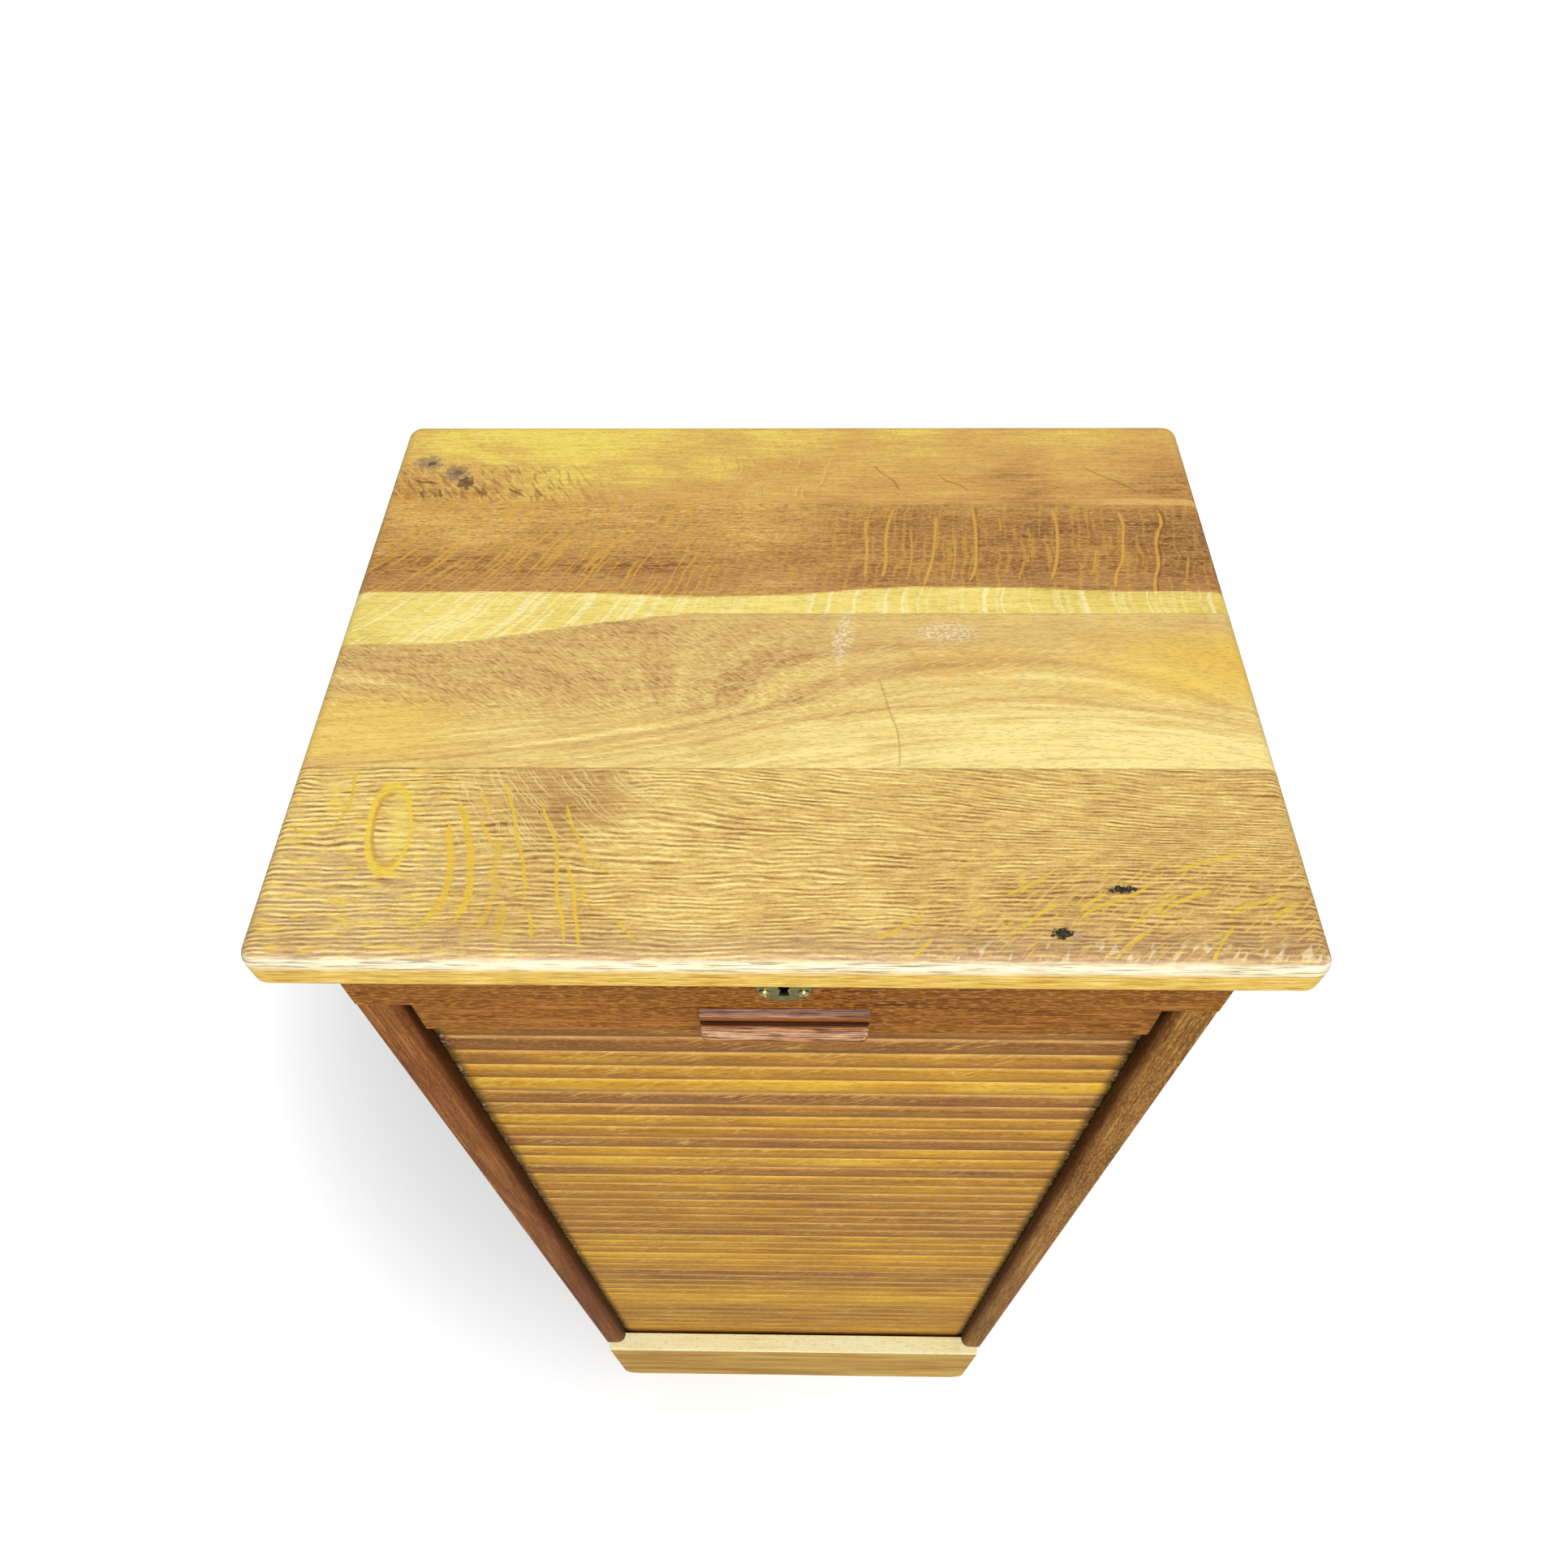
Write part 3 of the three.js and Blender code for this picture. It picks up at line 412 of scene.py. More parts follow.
# Sapwood edges, bands and drawn lines of the top's figure as (x, y), and its spots as (x, y, half width,
# half height, share), in millimetres
figure = dict(
    sapEdge=[(-230, 32), (-157, 32.5), (-107, 32), (-70, 30), (-42, 29), (-7, 30), (18, 32), (43, 34.5),
             (80, 36), (130, 35), (168, 33), (230, 32)],
    lowSapEdge=[(-230, -4.4), (-195, -4), (-170, -3), (-145, 1), (-120, 6), (-102, 9.5), (-82, 12.5),
                (-57, 16), (-20, 21)],
    band=[(-230, -84), (-150, -76), (-60, -61), (18, -41), (70, -34), (120, -32), (170, -37), (230, -50)],
    cream=[(-60, -92), (20, -78), (80, -66), (125, -60), (165, -60), (205, -66), (230, -74)],
    scratches=[[(48, 134), (51, 128), (59, 119), (62, 112), (66, 111)], [(83, 127), (88, 120), (95, 116),
               (101, 110)], [(163, 134), (172, 126), (185, 117), (198, 105)]],
    greySpots=[(-206, 136, 8, 6.5, 1), (-189, 127, 7, 7, 1)],
    cores=[(-204.5, 135, 2.6, 2, 1), (-188, 127.5, 2.6, 3, 0.7), (-181.5, 118.5, 4.5, 5, 1),
           (-172, 110, 4, 3, 0.6)],
    orangeSpots=[(-213, 105, 6, 4, 1), (-176, 108, 5, 3, 1)],
    filledKnots=[(144.2, -143.5, 6.2, 1.9, 1), (116.4, -164.5, 4.8, 2.6, 1)],
    stain=[(121, -165.5, 4, 2, 1)],
    crack=[(44, -22), (49, -45), (53, -68), (51, -84)],
    knotLines=[[(-213, 124), (-208, 119.5), (-202, 119), (-197, 117)], [(-158, 114), (-147, 107)],
               [(-142, 114), (-137, 106.5)], [(-206, 112), (-204, 106)], [(-196, 113), (-194, 106)]],
    rays=[[(44.4, 89.5), (41.8, 80), (42.2, 68), (41.2, 52.7), (39.8, 41)], [(58.9, 98.7), (54.3, 84),
          (52.3, 71), (51.7, 55), (48.4, 41)], [(80.6, 93), (78.7, 72), (76, 55), (71.4, 39.5), (70, 34)],
          [(101, 98.7), (101, 79), (99.7, 59), (98.4, 50), (91, 37)], [(143.8, 98.7), (145, 84), (143.8, 68),
          (141, 52.7), (136, 39.5)], [(178.7, 97), (181, 85.5), (179, 71), (177, 58), (171, 43), (169.5, 33)],
          [(200, 97), (202, 87), (199, 77.6), (196, 67), (195, 54), (191, 41), (189, 26)]],
    thinRays=[[(66, 83), (66, 66), (64.8, 52.7), (59.6, 38)], [(89.8, 76), (88.5, 59), (84.6, 38)],
              [(114.8, 90), (114.8, 77)], [(164, 66), (162, 55), (157.6, 43)], [(125, 56), (120, 40)],
              [(212, 60), (207, 40)]],
    curls=[[(-151.4, -95.5), (-144.5, -105.5), (-141.4, -115.5), (-138.3, -126.8), (-136.4, -138),
           (-135.5, -146.8), (-137.6, -155.5), (-141.5, -164)], [(-150.8, -108), (-148.9, -119),
           (-146.4, -128), (-145.5, -138), (-146, -146.8), (-149.5, -155.5), (-154.5, -163), (-159, -168)]],
    smears=[[(-128, -117), (-126.5, -128), (-127.5, -141)], [(-124, -136), (-125, -150), (-129, -166)],
            [(-119, -150), (-119.5, -168)]],
    thinCurls=[[(-138.3, -94.3), (-132.6, -105.5)], [(-137, -108), (-129.5, -121.8)], [(-131.4, -83),
               (-124.5, -99), (-119.5, -115.5), (-115.8, -126.8), (-112.6, -136.8), (-111.4, -153)],
               [(-113, -95), (-105.8, -110.5), (-101.4, -120.5), (-99.5, -130.5), (-97, -148), (-93.9, -159),
               (-91, -175)], [(-101.4, -126.8), (-94.5, -134), (-90, -145.5), (-88.3, -158), (-84, -175)],
               [(-99.5, -98), (-94.5, -113), (-89.5, -123), (-87, -129), (-80.8, -133), (-70.8, -139),
               (-63, -142)], [(-83.3, -143), (-86.4, -146.8), (-84.5, -150.5), (-77, -154), (-66, -157)],
               [(-109, -153), (-105, -169)], [(-72, -158), (-61, -170)], [(-206, -115.4), (-217, -115.5),
               (-221, -109)], [(-198.9, -83), (-197.6, -100.5), (-199.5, -107.4), (-203, -113),
               (-207, -115.5)]],
    slashes=[[(96, -165), (108, -155.5), (117, -149)], [(122, -161), (130.5, -153), (140.5, -149),
             (150.5, -145), (158, -140)], [(125, -152.5), (138, -145)], [(143, -164), (153, -155.5),
             (163, -149), (169, -145.5)], [(156, -159), (165.5, -150.5), (184, -143.5)], [(176, -177),
             (182, -168), (189, -159.5)], [(186, -157), (193, -152), (204, -149), (213, -145)],
             [(205, -156.5), (218, -150)], [(136, -177), (142, -170.5), (154, -163)], [(52, -177),
             (63, -167)], [(37, -168), (54, -159), (61, -152.5)], [(93, -147.5), (108, -140), (116, -135.5)],
             [(167, -136), (182, -130), (201, -125)]],
)


def backPlank(r, x, y):
    # Plank 1: golden, with a brighter flame and three grey knots at the left, and faint upright marks in
    # the middle
    tone = x.follow([(-230, 0.60), (-172, 0.78), (-135, 0.86), (-92, 0.76), (-47, 0.66), (0, 0.60),
                     (87, 0.53), (130, 0.46), (230, 0.40)])
    tone = tone + (y - 130) * 0.006 + r.streaks * 0.9 + r.cloud * 0.9 + r.grit * 0.4
    flame = r.most(r.reach((x + 191) / 24, (y - 151) / 9).fade(1, 0.1),
                   r.reach((x + 168) / 22, (y - 138 + (x + 168) * 0.5) / 8).fade(1, 0.1),
                   r.reach((x + 112) / 30, (y - 119 + (x + 112) * 0.12) / 7).fade(1, 0.1) * 0.7)
    tone = tone + flame * (0.22 + r.streaks)
    patch = x.within(-224, -150, 10) * y.within(104, 138, 6)
    tone = tone - patch * 0.16
    r.colour = r.shades(tone.clipped(), "#8f5f2e", "#c4924f", "#d8a75b", "#e1bb5e", "#f4db66")
    curl, curlAcross = r.turned(x, y + r.wander * 20, -55)
    flecks = r.dashes(curl, curlAcross, 9, 2.6, 0.5, soft=0.12) * x.fade(-70, -150) * y.within(100, 132, 6)
    r.tint(flecks * 0.55, "#8f6130")
    light = r.dashes(curl, curlAcross, 8, 2, 0.55, deep=3, soft=0.1)
    r.tint(light * x.fade(-50, -150) * y.within(100, 140, 8) * 0.5, "#eed06c")
    ragged = (r.noise(x / 2.6, y / 2.6, 5, detail=2) - 0.5) * 1.8
    r.tint(r.blots(x, y, figure["greySpots"], ragged) * 0.6, "#7f6c64")
    r.tint(r.blots(x, y, figure["cores"], ragged) * 0.75, "#4e3322")
    r.tint(r.strokes(x, y, figure["knotLines"], 1.8) * 0.65, "#6d4323")
    r.tint(r.blots(x, y, figure["orangeSpots"], ragged) * 0.45, "#dd9a2e")
    upright, across = r.turned(x, y, 82)
    across = across + r.wander * 16 + (upright / 23).wave() * 0.8
    marks = x.within(-44, 24, 12) * y.within(106, 142, 8)
    r.tint(r.noise(across / 3.2, upright / 40, 6).fade(0.54, 0.68) * marks * 0.6, "#ecc672")
    r.tint(r.noise(across / 3.2 + 0.35, upright / 40, 6).fade(0.54, 0.68) * marks * 0.3, "#a87538")
    scratches = r.strokes(x, y, figure["scratches"], 1.5, soft=0.7)
    r.tint(scratches * 0.45, "#7b5224")
    return r.colour, scratches


def secondPlank(r, x, y):
    # Plank 2: brown with dark dashes low down on the left, golden rays at the right; pale sapwood along
    # its front
    slant = x.follow([(-230, 1.15), (-200, 1), (-107, 0.55), (-20, 0.34), (60, 0.17), (230, 0.07)])
    rayX = x - slant * (y - 32) + r.wander * 7 + (y / 21).wave() * 0.5
    left = y.follow([(17, 0.5), (34, 0.52), (41, 0.54), (47, 0.48), (52, 0.48), (58, 0.58), (66, 0.69),
                     (76, 0.73), (104, 0.80)])
    right = y.follow([(17, 0.5), (34, 0.52), (41, 0.48), (50, 0.39), (60, 0.37), (70, 0.38), (83, 0.47),
                      (104, 0.57)])
    tone = left + (right - left) * x.fade(-10, 62) + x.within(-52, 22, 16) * y.fade(62, 50) * 0.12
    tone = tone - x.fade(110, 190) * y.within(60, 96, 10) * 0.08
    dots = r.noise(x / 2.6, y / 1, 8, detail=2) - 0.5
    tone = tone + r.streaks * 1.1 + r.cloud * 0.7 + dots * 0.9
    r.colour = r.shades(tone.clipped(), "#6b3d18", "#98693a", "#b9894a", "#ce9f57", "#eac26c")
    brown = r.dashes(x, y + r.wander * 8, 13, 3, 0.52, soft=0.1)
    brown = brown * y.within(45, 60, 3) * (x.fade(-30, -70) + x.fade(20, 90) * 0.8)
    r.tint(brown.clipped() * 0.6, "#7a4a20")
    r.tint(r.dashes(x, y, 6, 1, 0.56, deep=9, soft=0.08) * 0.45, "#7f4f24")
    r.tint(r.dashes(x, y, 4, 1.1, 0.55, deep=4, soft=0.1) * 0.4, "#d9ab60")
    red = y.within(33, 46, 4) * (0.5 + dots)
    r.tint(red.clipped() * 0.4, "#b27c55")
    fans = r.noise(rayX / 2.7, y / 40, 2, detail=1).fade(0.54, 0.61)
    fans = fans * x.follow([(-230, 1), (-60, 0.9), (-20, 0.3), (60, 0.5), (230, 0.4)])
    rays = r.most(fans * (0.85 + dots * 1.6), r.strokes(x + dots * 0.8, y, figure["rays"], 1.7, taper=0.2),
                  r.strokes(x + dots * 0.8, y, figure["thinRays"], 1.2) * 0.75)
    shadow = r.strokes(x - 1.4, y, figure["rays"][3:4] + figure["rays"][-1:], 1.5, taper=0.12)
    r.tint(shadow * 0.45, "#6e431d")
    r.tint(rays.clipped() * 0.85, "#dca748")
    sapTone = 0.55 + r.streaks * 1.6 + r.cloud * 0.8 - x.fade(60, 180) * 0.3 - x.fade(-190, -225) * 0.2
    sap = r.shades(sapTone.clipped(), "#dcc05c", "#ebd26e", "#f5de7c", "#fcea96")
    glints = r.noise(rayX / 4.2, 2, 4, detail=1).fade(0.57, 0.63)
    glints = glints * x.follow([(-230, 0.2), (-150, 0.7), (-90, 0.9), (-50, 0.3), (20, 0.8), (230, 0.7)])
    sap = r.mix(r.most(glints * 0.75, rays * 0.6), sap, "#fff6b8")
    edge = x.follow(figure["sapEdge"]) + r.streaks * 3
    return r.mix((y - edge).fade(1, -1), r.colour, sap), sap, rays


def thirdPlank(r, x, y, sap):
    # Plank 3: growth lines that sweep along one long curve into cream, sapwood in its left back corner
    share = ((17 - y) / 60).clipped()
    flow = y - x.follow(figure["band"]) * share
    sweep = r.noise(x / 130, flow / 2, 7, detail=3, rough=0.65) - 0.5
    broad = r.noise(x / 260, flow / 8, 9, detail=2) - 0.5
    left = y.follow([(17, 0.42), (-7, 0.38), (-23, 0.40), (-39, 0.48), (-50, 0.60), (-58, 0.68), (-80, 0.70)])
    right = y.follow([(17, 0.50), (-7, 0.50), (-23, 0.66), (-39, 0.76), (-55, 0.86), (-80, 0.92)])
    tone = left + (right - left) * x.fade(-110, 110)
    tone = tone + (sweep * 1.2 + broad * 1.1) * (0.4 + y.fade(0, -30) * 0.6) + r.cloud * 0.5
    swept = y.fade(8, -16)
    lines = flow.near(1.5, 4) * x.fade(-130, -40) + flow.near(-9, 3) * 0.8 + flow.near(9, 3.5) * 0.7
    tone = tone - lines * swept * 0.3
    hatch = r.noise(*(v / s for v, s in zip(r.turned(x, y, -34), (5, 1.15))), 1, detail=1) - 0.5
    hatch = hatch * (x.fade(90, -40) * y.within(-50, 14, 12) + 0.25)
    tone = tone + hatch * 1.1 + r.streaks * 0.9
    r.colour = r.shades(tone.clipped(), "#ae844e", "#cea765", "#dcb870", "#e9cc7a", "#f9e396")
    golden = r.most(x.fade(-130, -190) * y.within(-76, -40, 10) * 0.6,
                    x.fade(110, 200) * y.within(-38, 2, 10) * 0.75)
    r.tint(golden * (0.8 + sweep), "#efc64e")
    creamLine = y - x.follow(figure["cream"])
    cream = creamLine.fade(5, -5) * x.fade(0, 70) * (0.75 + sweep * 2)
    r.tint(cream.clipped(), "#f8e396")
    fine = r.noise(x / 80, creamLine / 2.6, 1, detail=2).fade(0.54, 0.66) * x.fade(-20, 60) * y.fade(-36, -46)
    r.tint(fine * 0.5, "#dbb56a")
    slant = r.dashes(*r.turned(x, y, 22), 9, 1.4, 0.55, soft=0.1)
    r.tint(slant * x.within(-60, 170, 30) * y.within(-60, 0, 10) * 0.45, "#f4dc92")
    amber = r.reach((x - 88) / 2.6, y + 16).fade(18, 4)
    r.tint(amber * r.dashes(*r.turned(x, y, -22), 7, 1.7, 0.46, soft=0.1) * 0.45, "#dfa43c")
    lowSap = y - x.follow(figure["lowSapEdge"]) + r.streaks * 3
    lowSap = lowSap.fade(-0.8, 0.8) * x.fade(-30, -60)
    return r.mix(lowSap, r.colour, sap), lowSap


def frontPlank(r, x, y):
    # Plank 4: tight ragged growth lines, an oval and curled golden lines at the left, golden slashes at
    # the right
    warp = r.noise(x / 26, y / 12, 2, detail=3) - 0.5
    lean = x.follow([(-230, 0), (0, 0.02), (60, 0.1), (150, 0.12), (230, 0.1)]) * y.fade(-140, -100)
    lane = y + warp * 3.5 + r.wander * 8 + lean * (x - 40) - x.fade(50, -70) * y.fade(-150, -84) * 11
    waves = ((lane / 2.2).wave() * 0.5) * r.noise(x / 18, y / 6, 7).fade(0.3, 0.62)
    ragged = r.noise(x / 15, lane / 1.25, 6, detail=2) - 0.5
    tone = x.follow([(-230, 0.54), (-172, 0.57), (-135, 0.47), (-92, 0.44), (-50, 0.57), (0, 0.52), (60, 0.5),
                     (120, 0.47), (230, 0.46)])
    tone = tone - x.fade(0, 120) * y.fade(-105, -150) * 0.16 - y.fade(-150, -172) * 0.06
    strong = x.follow([(-230, 1), (-165, 0.9), (-140, 0.7), (-60, 0.75), (100, 0.6), (230, 0.55)])
    brown = r.reach((x + 98) / 1.5, y + 96).fade(30, 8)
    tone = tone + 0.03 - brown * 0.1 + (waves * strong + ragged * 1.3) * (1 - brown * 0.35)
    tone = tone + r.streaks * 0.7 + r.grit * 0.4 + r.cloud * 0.5
    r.colour = r.shades(tone.clipped(), "#94693a", "#bd9656", "#d9b46a", "#eacc78", "#fbe496")
    mauve = r.noise(x / 26, y / 3, 12, detail=2).fade(0.44, 0.58) * x.fade(-90, -150) * y.fade(-112, -136)
    mauve = r.most(mauve, y.fade(-158, -172) * 0.8) * (0.7 - waves)
    r.tint(mauve.clipped() * 0.7, "#b08d70")
    r.tint(brown * 0.4, "#a97c48")
    pools = r.noise(x / 5, y / 16, 9, detail=2).fade(0.5, 0.6) * x.within(-162, -110, 5) * y.fade(-112, -128)
    r.tint(pools * 0.22, "#eecb52")
    yellow = r.dashes(x, y + warp * 6, 15, 3, 0.54, soft=0.12) * x.fade(-140, -165)
    r.tint(yellow * 0.55, "#efce50")
    slant = x.follow([(-170, 0.45), (-120, 0.7), (-80, 0.95), (-40, 1.5)])
    hair = r.noise((x + (y + 84) * slant + warp * 9) / 1.15, y / 26, 3, detail=2).fade(0.53, 0.63)
    hair = hair * x.within(-150, -55, 12) * y.within(-124, -80, 8)
    r.tint(hair * 0.55, "#f3da92")
    tick, athwart = r.turned(x, y, 38)
    ticks = r.dashes(tick, athwart + r.wander * 12, 11, 1.8, 0.57, soft=0.06)
    ticks = ticks * x.fade(20, 90) * y.within(-176, -124, 8)
    r.tint(ticks * 0.45, "#ecc766")
    short = r.dashes(*r.turned(x, y, 52), 8, 3.2, 0.57, soft=0.08) * y.within(-177, -169, 3) * x.fade(30, 70)
    r.tint(short * 0.5, "#f3e3b4")
    gold = r.most(r.strokes(x + warp * 3, y, figure["curls"], 3.3),
                  r.strokes(x + warp * 3, y, figure["thinCurls"], 1.7),
                  r.strokes(x + warp * 8, y, figure["smears"], 3.4, soft=1.6) * 0.6,
                  r.strokes(x, y + warp * 3, figure["slashes"], 1.7, taper=0.25) * 0.9)
    r.tint(gold * 0.4, "#a07436")
    gold = gold * (0.92 + waves * 0.35 + ragged * 0.6)
    r.tint(gold.clipped() * 0.9, "#e9c244")
    ox, oy = x + 176.4 + (y + 113.6) * 0.1 + warp * 3, y + 113.6
    oval = r.reach(ox / 8.3, oy / 20)
    ring = ox.fade(2, -8) * 0.1 + 0.15 + ragged * 0.12
    eye = (ring - abs(oval - 1.12)).fade(-0.05, 0.12)
    r.tint(eye * 0.9, "#ebca48")
    r.tint(oval.fade(1.1, 0.8) * ox.fade(-3, 3) * (0.5 + ragged), "#f3da6c")
    shadow = (0.13 + ragged * 0.2 - abs(oval - 0.93)).fade(-0.04, 0.1)
    r.tint(shadow * r.most(ox.fade(2, -5), oy.fade(-13, -18) * 0.8) * 0.65, "#c3903c")
    return r.colour, gold


def topRecipe():
    r = Recipe("topOak", roughness=0.42, shine=0.2)
    y = r.y * 0.9767 - r.x * 0.0031 - 3.7  # the figure's own plan, a little smaller than the board's
    x = r.x * (0.9872 - r.y * 0.00004) + r.y * 0.0039 - 0.1
    deep = r.z / 1.3
    r.wander = r.noise(x / 85, y / 24, r.z / 24) - 0.5
    r.streaks = r.noise(x / 24, y / 1.25, deep, detail=3, rough=0.65) - 0.5
    r.cloud = r.noise(x / 48, y / 24, 3, detail=3) - 0.5
    r.grit = r.noise(x / 1.6, y / 1.1, deep, detail=1) - 0.5
    pores = r.dashes(x, y, 4, 0.6, 0.58, deep=deep, soft=0.1)
    plank1, last = backPlank(r, x, y)
    x, y = x.after(last), y.after(last)
    plank2, sap, rays = secondPlank(r, x, y)
    x, y = x.after(rays), y.after(rays)
    plank3, last = thirdPlank(r, x, y, sap)
    x, y = x.after(last), y.after(last)
    plank4, gold = frontPlank(r, x, y)

    # Joints between planks, then what lies over all four
    joint1 = y + (x + 230) * 0.0124 - 104
    sliver = joint1.within(-0.2, 5.2, 0.4) * x.fade(150, 186)
    blurred = joint1 + r.streaks * 4 * x.fade(60, 20)
    r.colour = r.mix(blurred.fade(-0.8, 0.8), plank2, r.mix(sliver, plank1, "#dcb066"))
    r.tint((y - 17).fade(0.25, -0.25), plank3)
    r.tint((y + 80.5).fade(0.25, -0.25), plank4)
    seams = r.most(joint1.near(0, 0.5) * x.fade(60, 160) * 0.3,
                   (y - 17).near(0, 0.45) * x.fade(-75, -40) * 0.4,
                   (y + 80.5).near(0, 0.6) * 0.5)
    r.tint(seams, "#8f6a35")
    r.tint(pores * 0.2, "#8a5f2a")
    crack = r.stroke(x, y, figure["crack"], 0.9, 0.5, 0.3)
    r.tint(crack * 0.35, "#8a6a3c")
    rubbed = r.most(r.reach((x - 28) / 0.9, (y - 1 + (x - 28) * -1.2) / 2.2).fade(9, 3),
                    r.reach((x - 80) / 2.2, y - 4).fade(10, 3)) * r.dashes(x, y, 2, 1.1, 0.46, soft=0.16)
    r.tint(rubbed * 0.6, "#fbf2dc")
    ragged = r.grit * 1.6
    filled = r.blots(x, y, figure["filledKnots"], ragged)
    specks = r.noise(x / 0.9, y / 0.9, 4).fade(0.62, 0.7) * filled
    r.tint(r.blots(x, y, figure["stain"], ragged) * 0.5, "#c09a86")
    r.tint(filled * 0.95, r.mix(specks, "#191613", "#cfccbe"))

    # The rounded front edge: rubbed pale and painted with a cream highlight, with long broken grey pores, and
    # golden below
    down = r.z.fade(1149.4, 1146.6) * y.fade(-172, -176)
    lines = r.noise(x / 20, (r.z + y * 0.5) / 1.3, 3, detail=3, rough=0.7)
    rubbedLitEdge = r.shades((0.5 + (lines - 0.5) * 2.6).clipped(), "#c2ac80", "#eedeb6", "#fbecce", "#fff5e0")
    grey = r.dashes(x, r.z + y * 0.5, 24, 1.1, 0.53, deep=5, soft=0.08)
    grey = grey * r.noise(x / 70, 1, 2).fade(0.36, 0.5)
    rubbedLitEdge = r.mix(grey * 0.65, rubbedLitEdge, "#6b6053")
    golden = r.shades((0.5 + (lines - 0.5) * 3).clipped(), "#ae8230", "#dbae48", "#efc95c", "#fce493")
    r.tint(down, r.mix(r.z.fade(1145.5, 1140), rubbedLitEdge, golden))

    # The back edge is plain, and the two short edges show end grain
    r.tint(y.fade(170.6, 171.6) * 0.7, "#b98a4c")
    ends = abs(x).fade(225, 229) * abs(y).fade(176, 170)
    endTone = 0.5 + (r.noise(y / 2.2, r.z / 1.4, 3, detail=3) - 0.5) * 1.6
    endColour = r.shades(endTone, "#a36c33", "#c08a48", "#d2a05a")
    r.tint(ends * 0.7, endColour)

    relief = r.streaks * 0.5 - pores * 0.8 - seams * 1.2 - crack - filled * 0.8
    rough = 0.44 - r.most(rays, gold).clipped() * 0.06 + rubbed * 0.15
    return r.finish(relief, 0.14, rough)


finishes["topOak"] = topRecipe()


# Slats: brown to golden by the slat's own tone, with a lighter worn top arris that is also a painted highlight,
# painted shade over the lower half, a painted shadow in the dark joint, and painted shade at the ends
def slatRecipe():
    r = Recipe("slatOak", roughness=0.42, shine=0.1)
    tone, grey, seed, across = (r.attribute(key) for key in ("slatTone", "slatGrey", "slatSeed",
                                                             "slatAcross"))
    x, z = r.x + seed * 137, r.z
    streaks = r.noise(x / 45, z / 1.7, r.y / 1.7, detail=3, rough=0.65) - 0.5
    drift = r.noise(x / 75, z / 14, seed * 3.1, detail=2) - 0.5
    depth = tone + drift * 0.9 + streaks * 0.8
    r.colour = r.shades(depth.clipped(), "#724213", "#965f22", "#b87f25", "#d19a28", "#e8b73a")
    bleached = (grey * 0.9 + r.noise(x / 60, z / 16, seed * 2.3 + 40) * 1.2 - 0.6).clipped()
    r.tint(bleached * 0.75, r.shades((0.5 + streaks * 2).clipped(), "#7c5430", "#98693d", "#b0824f"))
    flecks = r.dashes(*r.turned(x, z, 24), 14, 1.6, 0.57, soft=0.06)
    r.tint(flecks * r.noise(x / 70, seed * 5.3).fade(0.48, 0.58) * 0.5, "#e6c06a")
    speckle = r.dashes(x, z, 3.6, 1.2, 0.56, deep=seed * 1.9 + 7, soft=0.08)
    r.tint(speckle * 0.25, "#dcb45e")
    pores = r.dashes(x, z, 6, 0.7, 0.57, deep=r.y / 0.5, soft=0.1)
    r.tint(pores * 0.45, "#74481c")
    # Painted highlight along the top arris, which is also worn lighter
    glow = (across.within(0.72, 1.06, 0.14) * (0.8 + streaks * 1.8)).clipped()
    r.tint(glow * 0.75, r.mix(tone.clipped(), "#d6a06c", "#efc654"))
    # Painted shade over the lower half of each slat
    low = across.fade(0.25, -0.8)
    r.tint(low * 0.6, r.mix(tone.clipped(), "#6f4216", "#96651c"))
    # Painted shadow in the seam between slats
    seamShadow = r.most(across.fade(-0.86, -1.1), across.fade(1.12, 1.3))
    r.tint(seamShadow * 0.9, "#2a1407")
    # Painted shade at the ends, where they run in behind the stiles, with pale dust over it
    ends = abs(r.x).fade(184, 190.5)
    dust = r.noise(r.x / 3, z / 2.2, 4)
    r.tint(ends * 0.75, "#3d2a14")
    r.tint(ends * dust.fade(0.55, 0.68) * 0.6, "#b7aa90")
    return r.finish(streaks * 0.5 - pores, 0.12)


def canvasRecipe():
    r = Recipe("canvas", roughness=0.85, shine=0.2)
    weave = (r.x / 1.1).wave() * (r.z / 1.1).wave()
    tone = 0.5 + weave * 0.22 + (r.noise(r.x / 30, r.z / 30) - 0.5) * 0.8
    r.colour = r.shades(tone, "#8f8163", "#b3a684", "#c9bd9c")
    return r.finish(weave, 0.12)


# Pull: a figured reddish strip, worn pinkish on the two rounds and painted lighter there as a highlight of the
# light from above, with painted shade in the groove
def pullRecipe():
    r = Recipe("pullOak", roughness=0.5, shine=0.08)
    sweep = r.attribute("pullSweep")  # 0 at the back of the upper edge, 1 at the back of the lower edge
    streaks = r.noise(r.x / 26, r.z / 0.9, r.y / 0.9, detail=3, rough=0.65) - 0.5
    r.colour = r.shades((0.5 + streaks * 2).clipped(), "#4c220c", "#7e4518", "#a2611f", "#c98a44")
    r.tint(sweep.within(0.2, 0.39, 0.02) * 0.65, "#b4662a")
    # Painted shade in the groove
    r.tint(sweep.within(0.405, 0.515, 0.015) * 0.95, "#210a03")
    # The up-facing upper bead, worn pinkish and painted lighter as a highlight
    bead = sweep.fade(0.21, 0.17)
    r.tint(bead * 0.85, r.shades((0.45 + streaks * 3).clipped(), "#5c4038", "#9c7b6c", "#bf9d88"))
    # The lower lip, worn pinkish and painted lighter as a highlight
    lip = sweep.within(0.54, 0.70, 0.02)
    r.tint(lip * 0.85, r.shades((0.5 + streaks * 4).clipped(), "#4e2c1c", "#b98a68", "#dcb692"))
    r.tint(sweep.within(0.72, 0.8, 0.02) * 0.5, "#c98a3c")
    lines = r.dashes(r.x, r.z + r.y, 12, 0.9, 0.56, soft=0.07)
    r.tint(lines * 0.55, "#4c2410")
    return r.finish(streaks, 0.1)


